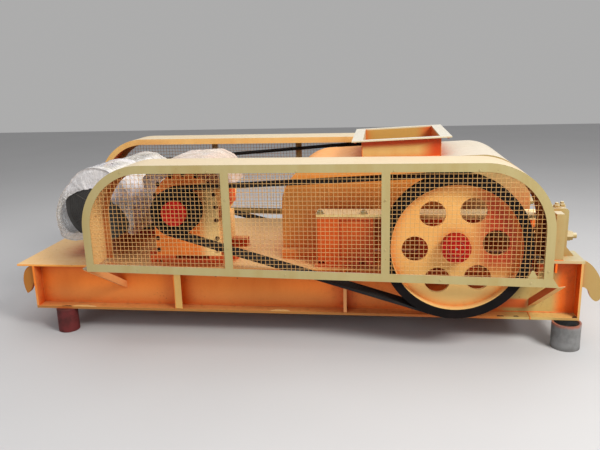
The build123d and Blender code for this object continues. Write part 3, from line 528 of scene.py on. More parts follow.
# painted light and shade: the hooks at the right end tan, the left ones a deeper orange under the deck
HOOK = paint("hook_tan", (0.41, 0.160, 0.024), (0.46, 0.10, 0.012), (0.60, 0.38, 0.15), rust=1.3, reach=0.1,
             tint=lambda m, col: m.mix(m.ramp(m.along("X"), 0.0, 0.5), col, (0.38, 0.25, 0.085)))
STRUT = paint("strut_orange", (0.78, 0.34, 0.12), (0.60, 0.11, 0.015), (0.80, 0.50, 0.28), pale_top=0.7, reach=0.1, over=strut_over)
WEB = paint("beam_orange", (0.84, 0.225, 0.026), (0.62, 0.085, 0.006), beam_pale, pale_top=0.8, rust=1.4, tint=beam_tint, over=pad_over)
BAR = paint("bar_tan", (0.70, 0.41, 0.118), (0.60, 0.20, 0.030), (0.72, 0.50, 0.24), rust=0.8, reach=0.06, shelter=0.0)
DEEP = paint("motor_orange", (0.80, 0.120, 0.011), (0.48, 0.036, 0.004), (0.76, 0.42, 0.14), rust=0.8)
# painted light: the end plate's enamel is brighter than the motor's, standing in for the light on it
PLATE = paint("motor_plate", (1.0, 0.235, 0.026), (0.90, 0.120, 0.009), (0.75, 0.46, 0.20), rust=0.7, reach=0.12, over=plate_tint)
WELD = paint("weld_orange", (0.74, 0.20, 0.030), (0.55, 0.075, 0.008), (0.74, 0.34, 0.10), pale_top=0.4, rust=1.6, reach=0.1)
DISC = paint("disc_orange", (0.84, 0.45, 0.125), (0.68, 0.19, 0.028), (0.80, 0.50, 0.22), pale_top=0.35, rust=0.5, reach=0.08, tint=disc_tint)
DECK_PAINT = paint("deck_orange", (0.86, 0.36, 0.070), (0.66, 0.11, 0.009), (0.76, 0.50, 0.23), pale_top=0.9, rust=2.2)
WIRE = paint("mesh_paint", (0.62, 0.36, 0.13), (0.60, 0.22, 0.05), (0.66, 0.50, 0.28), pale_top=0.7, rust=0.3, reach=0.03)


def plain(name, color, rough, dark=None, scale=20.0, bump=0.1, metallic=0.0, pale_top=0.0, dust_col=(0.45, 0.42, 0.38), **kw):
    m = Nodes(name)
    n = m.noise(scale, 4.0)
    n2 = m.noise(scale * 0.13, 3.0)
    col = m.mix(m.ramp(n, 0.35, 0.7), color, dark or tuple(c * 0.6 for c in color))
    if pale_top:
        f = m.math("MULTIPLY", m.ramp(m.up(), 0.1, 0.95), m.ramp(n2, 0.3, 0.65, pale_top * 0.4, pale_top))
        col = m.mix(f, col, dust_col)
    r = m.ramp(n, 0.3, 0.75, max(0.02, rough - 0.08), min(1.0, rough + 0.12))
    nrm = m.bump(m.noise(scale * 6.0, 2.0), bump, 0.0008)
    return m.out(col, r, nrm, Metallic=metallic, **kw)


BLACK = plain("rim_black", (0.0050, 0.0038, 0.0038), 0.6, (0.009, 0.006, 0.006), 9.0, 0.12, pale_top=0.07, dust_col=(0.05, 0.035, 0.03), Specular_IOR_Level=0.08)
RUBBER = plain("belt_rubber", (0.008, 0.007, 0.007), 0.7, (0.014, 0.012, 0.011), 15.0, 0.2, pale_top=0.18, dust_col=(0.07, 0.055, 0.045), Specular_IOR_Level=0.18)
RED = plain("hub_red", (0.42, 0.006, 0.003), 0.6, (0.28, 0.005, 0.002), 8.0, 0.08, pale_top=0.0, Specular_IOR_Level=0.15)
STEEL = plain("bare_steel", (0.36, 0.34, 0.31), 0.38, (0.22, 0.20, 0.17), 12.0, 0.1, metallic=0.85)
ROLL = plain("roll_steel", (0.24, 0.23, 0.22), 0.5, (0.16, 0.12, 0.09), 6.0, 0.3, metallic=0.6, pale_top=0.2)
SPRING = plain("spring_steel", (0.45, 0.17, 0.04), 0.42, (0.30, 0.09, 0.02), 14.0, 0.1, pale_top=0.2)
MOTOR = plain("motor_grey", (0.031, 0.029, 0.026), 0.45, (0.020, 0.018, 0.016), 11.0, 0.15, pale_top=0.2)
DRUM = plain("stand_red", (0.125, 0.018, 0.018), 0.65, (0.065, 0.014, 0.013), 16.0, 0.35, pale_top=0.2, dust_col=(0.24, 0.14, 0.12), Specular_IOR_Level=0.25)
DARK_RUST = plain("rusty_bolt", (0.060, 0.018, 0.010), 0.75, (0.020, 0.010, 0.008), 60.0, 0.3, pale_top=0.1, dust_col=(0.2, 0.1, 0.06), Specular_IOR_Level=0.2)


def pipe_grey():
    m = Nodes("stand_grey")
    n = m.noise(9.0, 5.0, 0.6)
    z = m.z()
    col = m.mix(m.ramp(n, 0.35, 0.7), (0.23, 0.23, 0.23), (0.12, 0.12, 0.118))
    rim = m.math("MULTIPLY", m.ramp(z, 0.140, 0.158), m.ramp(m.noise(30.0, 4.0), 0.25, 0.6, 0.4, 1.0))
    col = m.mix(rim, col, (0.34, 0.12, 0.075))
    foot = m.math("MULTIPLY", m.ramp(z, 0.0, 0.03, 1.0, 0.0), 0.5)
    col = m.mix(foot, col, (0.10, 0.09, 0.085))
    return m.out(col, m.ramp(n, 0.3, 0.7, 0.35, 0.6), m.bump(m.noise(40.0, 4.0), 0.25, 0.001), Metallic=0.35)


PIPE = pipe_grey()


def film_material(name="clear_film", warm=0.0):
    """Clear packing film: soft streaks and fine creases, milky where it lies in folds; the white in them is partly a
    painted highlight.
    """
    m = Nodes(name)
    z = m.z()
    soft = m.noise(3.4, 3.0, 0.5, dist=0.5)
    streak = m.noise(7.0, 5.0, 0.65, vec=m.scaled(1.0, 2.6, 0.8), dist=1.6)
    fine = m.noise(17.0, 5.0, 0.65, vec=m.scaled(0.9, 1.9, 0.7), dist=2.2)
    crease = m.ramp(m.math("ABSOLUTE", m.math("SUBTRACT", fine, 0.5)), 0.0, 0.035, 1.0, 0.0)
    crease2 = m.ramp(m.math("ABSOLUTE", m.math("SUBTRACT", streak, 0.5)), 0.0, 0.022, 1.0, 0.0)
    lines = m.math("MAXIMUM", crease, crease2)
    milk_and_highlight = m.math("MAXIMUM", m.ramp(streak, 0.42, 0.68, 0.0, 0.75), m.math("MULTIPLY", lines, 0.85))
    milk_and_highlight = m.math("MAXIMUM", milk_and_highlight, m.ramp(soft, 0.46, 0.66, 0.0, 0.8))
    # gathered in several layers low down at the left, and where it hangs beside the motors
    heap = m.ramp(z, 0.60, 0.70, 0.92, 0.0)
    hung = m.math("MULTIPLY", m.ramp(m.along("X"), station(470), station(540)), m.ramp(z, 0.84, 0.92))
    hung = m.math("MULTIPLY", hung, m.ramp(streak, 0.30, 0.50, 0.55, 1.0))
    milk_and_highlight = m.math("MAXIMUM", milk_and_highlight, m.math("MAXIMUM", heap, hung))
    col = m.mix(milk_and_highlight, (0.40, 0.39, 0.40), (0.74, 0.72, 0.73))
    # painted lilac sheen in some folds, yellowed in others
    col = m.mix(m.ramp(m.noise(5.0, 2.0, vec=m.scaled(1.0, 1.6, 1.0)), 0.50, 0.66, 0.0, 0.55), col, (0.66, 0.64, 0.76))
    col = m.mix(m.ramp(m.noise(2.6, 2.0), 0.44, 0.62, 0.0, 0.65), col, (0.62, 0.56, 0.44))
    col = m.mix(m.math("MULTIPLY", heap, 0.7), col, (0.60, 0.55, 0.45))
    # painted highlight on one side of each crease and painted shade on the other, with a painted highlight along the
    # creases
    shade = m.ramp(m.math("SUBTRACT", fine, 0.5), -0.10, 0.0, 0.0, 1.0)
    shade = m.math("MULTIPLY", shade, m.ramp(m.math("SUBTRACT", fine, 0.5), 0.0, 0.02, 1.0, 0.0))
    col = m.mix(m.math("MULTIPLY", shade, 0.55), col, (0.30, 0.285, 0.285))
    col = m.mix(m.math("MULTIPLY", lines, 0.6), col, (0.90, 0.88, 0.90))
    if warm:
        # dusty, with the orange below showing through
        col = m.mix(m.math("MULTIPLY", m.ramp(soft, 0.38, 0.62, 0.45, 1.0), warm), col, (0.56, 0.42, 0.32))
        col = m.mix(m.math("MULTIPLY", m.ramp(streak, 0.50, 0.62), 0.35 * warm), col, (0.66, 0.40, 0.33))
    m.put(m.bsdf, "Alpha", m.ramp(milk_and_highlight, 0.0, 1.0, 0.34, 0.96, smooth=False))
    nrm = m.bump(fine, 0.55, 0.010)
    nrm = m.bump(m.noise(60.0, 3.0, 0.6, dist=1.5), 0.30, 0.002, nrm)
    return m.out(col, 0.38, nrm, Specular_IOR_Level=0.4)


FILM = film_material()
FILM_DUSTY = film_material("dusty_film", 0.75)
MATERIALS = {
    "machine_paint": PAINT, "mesh_paint": WIRE, "rim_black": BLACK, "hub_red": RED, "belt_rubber": RUBBER,
    "bare_steel": STEEL, "roll_steel": ROLL, "spring_steel": SPRING, "motor_grey": MOTOR, "clear_film": FILM,
    "stand_red": DRUM, "stand_grey": PIPE,
}
# copies of the same enamel: paler ones, painted light, on parts that stand in the light, and deeper ones, painted
# shade, where they are sheltered
SHADES = {
    "front_guard_frame": TAN, "rear_guard_frame": TAN, "front_guard_cover": COVER, "rear_guard_cover": COVER,
    "guard_struts": STRUT, "spring_abutments": TAN, "deck_plate": DECK_PAINT, "lifting_hooks": HOOK,
    "housing_front_wall": HOUSE, "housing_rear_wall": HOUSE, "housing_left_cover": HOUSE, "housing_right_cover": HOUSE,
    "hopper": HOPPER,
    "front_pulley_disc": DISC, "rear_pulley_disc": DISC,
    "fixed_roll_bearings": DEEP, "movable_roll_bearings": DEEP, "bearing_top_rails": RAIL,
    "front_beam": WEB, "rear_beam": WEB, "left_end_beam": WEB, "right_end_beam": WEB, "cross_beams": WEB,
    "front_motor": PLATE, "front_motor_rails": DEEP, "rear_motor_rails": DEEP,
    "tie_rods": TAN,
}
for sub in frame["record"]["subparts"]:
    ob = frame["nodes"][sub["node"]]
    mat = SHADES.get(sub["node"]) or MATERIALS[sub["material_slot"]]
    for s in ob.material_slots:
        s.material = mat
    if not ob.material_slots:
        ob.data.materials.append(mat)


# ------------------------------------------------------------------ wire mesh
def guard_z(x, x0, x1):
    return G_ZL + (G_ZR - G_ZL) * (x - x0) / (x1 - x0)


def woven(name, node, x0, x1, bars, rear):
    """Crimped wire held behind the guard's frame: three panels in one piece."""
    pitch, amp, r, under = 26.2, 1.6, 1.45, 12.0
    yc = -197.0
    b = Build()
    a0, a1, top, rad = x0 + 50, x1 - 50, G_TOP - 50, G_R - 50
    za, zb = guard_z(a0, x0, x1) + 50, guard_z(a1, x0, x1) + 50

    def low(x):
        return za + (zb - za) * (x - a0) / (a1 - a0)

    def high(x):
        d = max(0.0, a0 + rad - x, x - (a1 - rad))
        return top - rad + math.sqrt(max(0.0, rad * rad - d * d))

    def span(z):
        d = max(0.0, z - (top - rad))
        if d >= rad:
            return None
        k = rad - math.sqrt(rad * rad - d * d)
        return a0 + k, a1 - k

    nx = int((a1 - a0) / pitch)
    xs = [a0 + (a1 - a0 - nx * pitch) / 2 + i * pitch for i in range(nx + 1)]
    nz = int((top - min(za, zb)) / pitch)
    zs = [top - 11 - i * pitch for i in range(nz + 1)]

    def wire(points):
        if len(points) > 1:
            if rear:
                points = [(x, ry(y), z) for x, y, z in points]
            b.tube(points, r, 5, caps=True)

    for i, x in enumerate(xs):
        if any(abs(x - c) < 25 - 9 for c in bars):
            continue
        z0, z1 = low(x) - under, high(x) + under
        pts, z = [], z0
        ph = math.pi * i
        steps = max(2, int((z1 - z0) / (pitch / 2)))
        keys = sorted({z0, z1, *[zs[0] - k * pitch / 2 for k in range(-2, 2 * nz + 4) if z0 < zs[0] - k * pitch / 2 < z1]})
        for z in keys:
            pts.append((x + 0.7 * noise.noise(Vector((x * 0.01, z * 0.006, 3))), yc + amp * math.cos(math.pi * (zs[0] - z) / pitch + ph), z))
        wire(pts)
    for k, z in enumerate(zs):
        sp = span(z)
        if not sp:
            continue
        cuts = [sp[0] - under] + [e for c in bars for e in (c - 25 + under, c + 25 - under)] + [sp[1] + under]
        for j in range(0, len(cuts), 2):
            u0, u1 = cuts[j], cuts[j + 1]
            if z < min(low(u0), low(u1)) - under:
                continue
            if z < low(u0) - under:
                u0 = a0 + (z + under - za) / (zb - za) * (a1 - a0)
            if u1 - u0 < 20:
                continue
            keys = sorted({u0, u1, *[xs[0] + q * pitch / 2 for q in range(-2, 2 * nx + 4) if u0 < xs[0] + q * pitch / 2 < u1]})
            wire([(x, yc - amp * math.cos(math.pi * (x - xs[0]) / pitch + math.pi * k),
                   z + 0.8 * noise.noise(Vector((x * 0.006, z * 0.01, 7)))) for x in keys])
    ob = b.make(name, WIRE, STATIC, sharp=80)
    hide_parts(node)
    return ob


woven("front_woven_wire", "front_guard_mesh", GX0, GX1, GBARS, False)
woven("rear_woven_wire", "rear_guard_mesh", RX0, RX1, RBARS, True)


# ---------------------------------------------------------------- belt drives
def belt_path(xs, zs, xb, zb, rs, rb):
    """Centre line of a belt loop as (x, z, outward x, outward z)."""
    dx, dz = xb - xs, zb - zs
    dist, base = math.hypot(dx, dz), math.atan2(dz, dx)
    tilt = math.acos((rs - rb) / dist)
    up, low = base + tilt, base - tilt
    out = []

    def arc(x, z, r, a, b, n):
        for i in range(n + 1):
            q = a + (b - a) * i / n
            out.append((x + r * math.cos(q), z + r * math.sin(q), math.cos(q), math.sin(q)))

    def run(x0, z0, r0, x1, z1, r1, a, n):
        p = Vector((x0 + r0 * math.cos(a), z0 + r0 * math.sin(a)))
        q = Vector((x1 + r1 * math.cos(a), z1 + r1 * math.sin(a)))
        for i in range(1, n):
            pt = p.lerp(q, i / n)
            out.append((pt.x, pt.y, math.cos(a), math.sin(a)))

    run(xs, zs, rs, xb, zb, rb, up, 30)
    arc(xb, zb, rb, up, low, 60)
    run(xb, zb, rb, xs, zs, rs, low, 30)
    arc(xs, zs, rs, low, up - 2 * math.pi, 36)
    return out


BELT_YS = [-159.0 + 21.6 * i for i in range(6)]


def vbelts(name, node, xs, zs, xb, rear):
    b = Build()
    path = belt_path(xs, zs, xb, ROLL_Z, SMALL_R + 8, BIG_R + 8)
    for y in BELT_YS:
        rings = []
        for x, z, nx, nz in path:
            ring = []
            for dy, dn in ((-5.6, -7.3), (5.6, -7.3), (8.6, 3.0), (8.4, 6.6), (7.2, 7.3), (-7.2, 7.3), (-8.4, 6.6), (-8.6, 3.0)):
                yy = y + dy
                ring.append((x + nx * dn, ry(yy) if rear else yy, z + nz * dn))
            rings.append(ring)
        b.rings(rings, closed=True)
    ob = b.make(name, RUBBER, STATIC, sharp=40)
    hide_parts(node)
    return ob


vbelts("front_v_belts", "front_belt", F_MOTOR_X, MOTOR_Z, MOVE_X, False)
vbelts("rear_v_belts", "rear_belt", R_MOTOR_X, R_MOTOR_Z, FIX_X, True)


def groove_profile(r_out, r_floor, y0, y1, r_in):
    """Rim section with a groove under each belt; r_out is the ridge height."""
    prof = [(r_in, y1), (r_in, y0), (r_out - 2, y0), (r_out, y0 + 2)]
    for y in BELT_YS:
        prof += [(r_out, y - 9.6), (r_floor, y - 6.0), (r_floor, y + 6.0), (r_out, y + 9.6)]
    prof += [(r_out, y1 - 2), (r_out - 2, y1)]
    return prof


def big_rim(prefix, x, body, rear):
    prof = groove_profile(BIG_R + 11.0, BIG_R - 0.8, -174.0, -36.0, BIG_IN)
    lining = [(BIG_IN, -171.0), (BIG_IN - 3, -170.0), (BIG_IN - 3, -37.0), (BIG_IN, -37.0)]
    if rear:
        prof = [(r, ry(y)) for r, y in prof]
        lining = [(r, ry(y)) for r, y in lining]
    b = Build()
    b.lathe(x, ROLL_Z, prof, 120)
    ob = b.make(prefix + "_grooved_rim", BLACK, body, sharp=25)
    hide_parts(prefix + "_pulley_rim")
    b = Build()
    b.lathe(x, ROLL_Z, lining, 120)
    b.make(prefix + "_rim_inside", DISC, body, sharp=25)


big_rim("front", MOVE_X, "movable_roll_set", False)
big_rim("rear", FIX_X, "fixed_roll_set", True)


def small_pulley(prefix, x, z, body, rear):
    node = prefix + "_motor_pulley"
    m = (lambda y: ry(y)) if rear else (lambda y: y)
    prof = groove_profile(SMALL_R + 10.5, SMALL_R - 0.8, -174.0, -36.0, 112.0)
    b = Build()
    b.lathe(x, z, [(r, m(y)) for r, y in prof], 72)
    # web and boss, set back from the front face
    b.lathe(x, z, [(112.5, m(-150)), (112.5, m(-42)), (70, m(-42)), (70, m(-150))], 72)
    b.lathe(x, z, [(34, m(-40)), (34, m(150)), (0.5, m(150)), (0.5, m(-40))], 32)
    ob = b.make(prefix + "_small_pulley", BLACK, body, sharp=25)
    b = Build()
    b.lathe(x, z, [(0.5, m(-178)), (34, m(-179)), (36, m(-184)), (74, m(-188)), (78, m(-185)), (78, m(-150)), (0.5, m(-150))], 64)
    for i in range(3):
        a = math.radians(30 + 120 * i)
        b.prism((x + 52 * math.cos(a), m(-184), z + 52 * math.sin(a)), (0, 1 if rear else -1, 0), 7, 4, 12, 1.0)
    hub = b.make(prefix + "_small_hub", RED, body, sharp=25)
    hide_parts(node)
    return hub


small_pulley("front", F_MOTOR_X, MOTOR_Z, "front_motor_rotor", False)
small_pulley("rear", R_MOTOR_X, R_MOTOR_Z, "rear_motor_rotor", True)


def hub_details(prefix, x, body, rear):
    """Taper bush, its screws and the shaft end with a centre hole."""
    m = (lambda y: ry(y)) if rear else (lambda y: y)
    s = 1 if rear else -1
    b = Build()
    b.lathe(x, ROLL_Z, [(50.0, m(-181)), (50.0, m(-186)), (60, m(-186)), (62, m(-184)), (62, m(-181))], 48)
    for i in range(4):
        a = math.radians(45 + 90 * i)
        b.bolt((x + 72 * math.cos(a), m(-183), ROLL_Z + 72 * math.sin(a)), (0, s, 0), 10, turn=a, washer=False)
    b.make(prefix + "_hub_bush", RED, body)
    b = Build()
    b.lathe(x, ROLL_Z, [(2, m(-176)), (9, m(-182)), (47, m(-182)), (49, m(-180)), (49, m(-170)), (2, m(-170))], 40)
    b.make(prefix + "_shaft_end", RED, body)


hub_details("front", MOVE_X, "movable_roll_set", False)
hub_details("rear", FIX_X, "fixed_roll_set", True)

# -------------------------------------------------------------------- springs
b = Build()
rod_x0, turns = MOVE_X + 144, 8.5
for yy in (150.0, ry(150.0)):
    x0, x1 = rod_x0 + 20 + 9, 3361 - 9
    pts = []
    n = int(turns * 20)
    for i in range(n + 1):
        a = 2 * math.pi * turns * i / n
        t = i / n
        # closed coils at both ends
        s = 0.5 - 0.5 * math.cos(math.pi * t)
        t = 0.25 * s + 0.75 * t
        pts.append((x0 + (x1 - x0) * t, yy + 44 * math.cos(a), ROLL_Z + 44 * math.sin(a)))
    b.tube(pts, 9.5, 9)
ob = b.make("coil_springs", SPRING, STATIC, sharp=70)
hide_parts("buffer_springs")

# --------------------------------------------------------------- bolts, welds
b = Build()
for side in (0, 1):
    m = (lambda y: ry(y)) if side else (lambda y: y)
    s = 1 if side else -1
    # along the top bar of the bearing boxes
    for x in (1966, 2240, 2620, 2900) if side else (1966, 2240):
        b.bolt((x, m(62), 806), (0, 0, 1), 24, turn=x * 0.3, stud=10)
    # round the shaft where it leaves the box
    bx = FIX_X if side else MOVE_X
    for i in range(6):
        a = math.radians(30 + 60 * i)
        b.bolt((bx + 92 * math.cos(a), m(57), ROLL_Z + 92 * math.sin(a)), (0, s, 0), 12, turn=a, washer=False)
    # abutment cap
    for x, y in ((3412, 132), (3450, 160)):
        b.bolt((x, m(y), 835), (0, 0, 1), 22, turn=x, stud=13)
ob = b.make("bearing_bolts", TAN, STATIC)

b = Build()
for x in (2180, 2320, 2482, 2640, 2768):
    for y in (YC - 388, YC + 388):
        z = 1251 + 0.0407 * (x - 2482)
        b.bolt((x, y, z - 8), (0, 0, -1), 9, turn=x)
b.make("hopper_bolts", HOPPER, STATIC)

b = Build()
fl = [(0, 3560)]
for side in (0, 1):
    m = (lambda y: ry(y)) if side else (lambda y: y)
    for x in (992, 2120):
        for dx in (-7, 7):
            b.bead((x + dx, m(84), 170), (x + dx, m(84), 433), 4)
            b.bead((x + dx, m(8), 168), (x + dx, m(84), 168), 4)
    b.bead((16, m(84), 168), (3544, m(84), 168), 4.5, 9)
    b.bead((16, m(84), 433), (3284, m(84), 433), 4, 9)
    b.bead((3302, m(84), 514), (3544, m(84), 514), 4, 8)
    b.bead((3545, m(84), 170), (3545, m(84), 512), 4, 8)
    b.bead((16, m(84), 170), (16, m(84), 433), 4, 8)
    b.bead((3560, m(20), 366), (3560, m(20), 514), 5)
    b.bead((3560, m(45), 366), (3560, m(45), 514), 5)
    b.bead((0, m(20), 334), (0, m(20), 444), 5)
    b.bead((0, m(45), 334), (0, m(45), 444), 5)
    b.bead((3441, m(11), 533), (3441, m(99), 533), 4)
    b.bead((3386, m(9.5), 533), (3440, m(9.5), 533), 4)
    b.bead((3481, m(100), 533), (3481, m(205), 533), 4)
    b.bead((3386, m(99), 533), (3386, m(99), 818), 3.5)
# a butt joint across the front bottom flange
b.bead((3268, -1.5, 151), (3268, -1.5, 166), 3.5)
b.bead((3268, 0, 166.5), (3268, 84, 166.5), 3.5)
# hopper foot and corners
for y in (YC - 363, YC + 363):
    b.bead((2225, y, 1112), (2723, y, 1133), 4)
for x in (2222, 2726):
    z = 1112 if x < 2500 else 1133
    b.bead((x, YC - 361, z), (x, YC + 361, z), 4)
for x, z in ((2223, 1112), (2725, 1133)):
    for y in (YC - 362, YC + 362):
        b.bead((x, y, z), (x, y, z + 118), 3)
b.make("weld_beads", WELD, STATIC, sharp=60)


# --------------------------------------------------------------------- motors
def motor_details(prefix, x, z, r_body, r_cowl, y_cowl, y_end, rear, mat):
    """Cooling fins, end grille, lid, lifting eye and bolts of a fan-cooled motor."""
    m = (lambda y: ry(y)) if rear else (lambda y: y)
    s = 1 if rear else -1
    b = Build()
    y0, y1 = 92.0, y_cowl - 6
    n = 44
    for i in range(n):
        a = 2 * math.pi * (i + 0.5) / n
        ca, sa = math.cos(a), math.sin(a)
        if sa < -0.62 or (ca > 0.86 and abs(sa - 0.15) < 0.36):
            continue
        px, pz = -sa * 1.6, ca * 1.6
        ri, ro = r_body - 2, r_body + 13.5
        ring0 = [(x + ca * ri + px, m(y0), z + sa * ri + pz), (x + ca * ro + px * .6, m(y0 + 3), z + sa * ro + pz * .6),
                 (x + ca * ro - px * .6, m(y0 + 3), z + sa * ro - pz * .6), (x + ca * ri - px, m(y0), z + sa * ri - pz)]
        ring1 = [(x + ca * ri + px, m(y1), z + sa * ri + pz), (x + ca * ro + px * .6, m(y1 - 3), z + sa * ro + pz * .6),
                 (x + ca * ro - px * .6, m(y1 - 3), z + sa * ro - pz * .6), (x + ca * ri - px, m(y1), z + sa * ri - pz)]
        b.rings([ring0, ring1])
    # cowl grille: rings and spokes on the end face
    for rr in range(30, int(r_cowl) - 20, 14):
        b.lathe(x, z, [(rr - 2.4, m(y_end - 1)), (rr + 2.4, m(y_end - 1)), (rr + 2.4, m(y_end + 3)), (rr - 2.4, m(y_end + 3))], 48)
    for i in range(6):
        a = math.pi / 6 + i * math.pi / 3
        b.tube([(x + 26 * math.cos(a), m(y_end + 1.5), z + 26 * math.sin(a)),
                (x + (r_cowl - 14) * math.cos(a), m(y_end + 1.5), z + (r_cowl - 14) * math.sin(a))], 4, 6)
    b.prism((x, m(y_end), z), (0, -s, 0), 26, 6, 24, 2)
    # cowl rolled edge
    b.lathe(x, z, [(r_cowl - 1, m(y_cowl)), (r_cowl - 1, m(y_cowl + 8)), (r_body, m(y_cowl + 8)), (r_body, m(y_cowl))], 64)
    # terminal box lid
    zc = z + 30
    b.box(x + 240, x + 246, *sorted((m(246), m(434))), zc - 74, zc + 74, 2)
    for yy in (256, 424):
        for zz in (zc - 62, zc + 62):
            b.bolt((x + 244, m(yy), zz), (1, 0, 0), 6, washer=False)
    if rear:
        return b.make(prefix + "_motor_details", mat, STATIC, sharp=30)
    # lifting eye
    ring = [(x + 19 * math.cos(a), m(300), z + r_body + 33 + 19 * math.sin(a)) for a in (2 * math.pi * i / 20 for i in range(20))]
    b.tube(ring, 5.5, 8, closed=True)
    b.prism((x, m(300), z + r_body + 4), (0, 0, 1), 16, 14, 16, 2)
    # foot bolts
    for dx in (-155, 155):
        for yy in (185, 535):
            b.bolt((x + dx, m(yy), 545), (0, 0, 1), 18, turn=dx)
    return b.make(prefix + "_motor_details", mat, STATIC, sharp=30)


motor_details("front", F_MOTOR_X, MOTOR_Z, 197.0, 212.0, 440.0, 600.0, False, DEEP)
motor_details("rear", R_MOTOR_X, R_MOTOR_Z, 225.0, 240.0, 976.0, 1136.0, True, MOTOR)

# bolts round the front motor's end plate
b = Build()
for px, pz in ((915, 1000), (1003, 1052), (1088, 1062), (1173, 1052), (1246, 1000), (1284, 930), (1290, 850), (1290, 760), (1290, 640), (1290, 560),
               (886, 850), (886, 760), (886, 640), (886, 560), (892, 930)):
    b.bolt((px, 60, pz), (0, -1, 0), 13, turn=pz)
b.make("motor_plate_bolts", DARK_RUST, STATIC)


# ------------------------------------------------------------- packing film
def film(name, node, prof, centre, y0, y1, proud, seed, mouth=(), mat=None):
    """Loose film over a motor. The section prof runs from its left edge over the top;
    mouth gives, by angle in degrees, how far in the film closes over the motor's end."""
    seg = [math.hypot(b[0] - a[0], b[1] - a[1]) for a, b in zip(prof, prof[1:])]
    total = sum(seg)
    nu = int(total / 8.0)
    nv = int((y1 - y0) / 8.0)
    line = []
    for i in range(nu + 1):
        s = total * i / nu
        k = 0
        while k < len(seg) - 1 and s > seg[k]:
            s -= seg[k]
            k += 1
        t = min(1.0, s / seg[k])
        line.append((prof[k][0] + (prof[k + 1][0] - prof[k][0]) * t, prof[k][1] + (prof[k + 1][1] - prof[k][1]) * t))
    for _ in range(8):
        line = [line[0]] + [((a[0] + 2 * b[0] + c[0]) / 4, (a[1] + 2 * b[1] + c[1]) / 4)
                            for a, b, c in zip(line, line[1:], line[2:])] + [line[-1]]

    def reach_in(x, z):
        """Share of the radius that the turned-in film leaves open at this angle."""
        a = math.degrees(math.atan2(z - centre[1], x - centre[0])) % 360
        for (a0, s0), (a1, s1) in zip(mouth, mouth[1:]):
            if a0 <= a <= a1:
                w = (a - a0) / (a1 - a0)
                return s0 + (s1 - s0) * w
        return mouth[-1][1]

    turned = 14 if mouth else 0
    rows = [(1 - j / turned, y0) for j in range(turned)] + [(0.0, y0 + (y1 - y0) * j / nv) for j in range(nv + 1)]
    verts, faces = [], []
    off = Vector((seed * 7.1, seed * 3.3, seed * 1.7))
    for j, (into, y) in enumerate(rows):
        for i, (x, z) in enumerate(line):
            edge = min(i, nu - i) / nu
            p = Vector((x * 0.0052, y * 0.0130, z * 0.0052)) + off
            q = Vector((x * 0.015, y * 0.034, z * 0.015)) + off
            # long soft folds over the motor, small wrinkles on them
            d = 15.0 * abs(noise.noise(p)) + 9.0 * abs(noise.noise(q)) + 3.2 * abs(noise.noise(q * 2.7))
            d = max(-12.0, min(proud, proud - d))
            out = Vector((x - centre[0], 0, z - centre[1])).normalized()
            share = 1.0 - into * (1.0 - (reach_in(x, z) if into else 1.0))
            px = centre[0] + (x - centre[0]) * share + out.x * d
            pz = centre[1] + (z - centre[1]) * share + out.z * d
            ragged = 22 * noise.noise(Vector((i * 0.09, seed, 0))) + 9 * noise.noise(Vector((i * 0.4, seed, 3)))
            py = y + 5 * noise.noise(q * 1.4)
            if j == len(rows) - 1 or (not mouth and j == 0):
                py += ragged * (1 if j else -1) * 0.6
            if into:
                # rounded turn at the end, creased towards the opening
                py += 16 * (1 - math.sqrt(max(0.0, 1 - (1 - into) ** 2))) - 9 * into * abs(noise.noise(Vector((x * 0.03, seed, z * 0.03))))
                w = into * (1 - share)
                px += 26 * w * noise.noise(q * 1.2 + Vector((5, 0, 0)))
                pz += 26 * w * noise.noise(q * 1.2 + Vector((0, 5, 0)))
            if edge < 0.03:
                pz += 8 * noise.noise(Vector((y * 0.03, seed, 8)))
            verts.append((px, py, pz))
    n = nu + 1
    for j in range(len(rows) - 1):
        for i in range(nu):
            a = j * n + i
            faces.append((a, a + 1, a + n + 1, a + n))
    bb = Build()
    bb.add(verts, faces)
    ob = bb.make(name, mat or FILM, STATIC, sharp=75)
    if node:
        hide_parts(node)


film("loose_film", "packing_film",
     [(300, 592), (236, 584), (180, 590), (142, 612), (122, 690), (116, 765), (132, 825), (170, 905), (232, 972), (286, 1036),
      (345, 1078), (430, 1094), (515, 1078), (598, 1015), (655, 925), (682, 830), (680, 720), (662, 620)],
     (430, 815), 176, 644, 5.0, 1,
     [(0, 0.66), (15, 0.52), (35, 0.42), (60, 0.44), (90, 0.48), (118, 0.54), (136, 0.66), (150, 0.74), (165, 0.83), (181, 0.90),
      (191, 0.92), (201, 0.91), (212, 0.83), (228, 0.76), (245, 0.76), (290, 0.90), (335, 0.86), (360, 0.66)])
film("loose_film_back", None,
     [(176, 880), (206, 940), (244, 990), (292, 1032), (348, 1060), (430, 1072), (512, 1060), (584, 1016), (634, 960), (660, 905), (672, 850)],
     (430, 815), 628, 1190, 4.0, 3)
film("front_motor_sheet", "front_motor_film",
     [(800, 960), (806, 1040), (860, 1100), (960, 1140), (1090, 1152), (1200, 1157),
      (1290, 1120), (1340, 1040), (1352, 950)],
     (1085, 860), 100, 640, 6.0, 2,
     [(0, 0.88), (60, 0.92), (100, 0.84), (125, 0.70), (150, 0.66), (168, 0.70), (185, 0.80), (360, 0.88)], FILM_DUSTY)

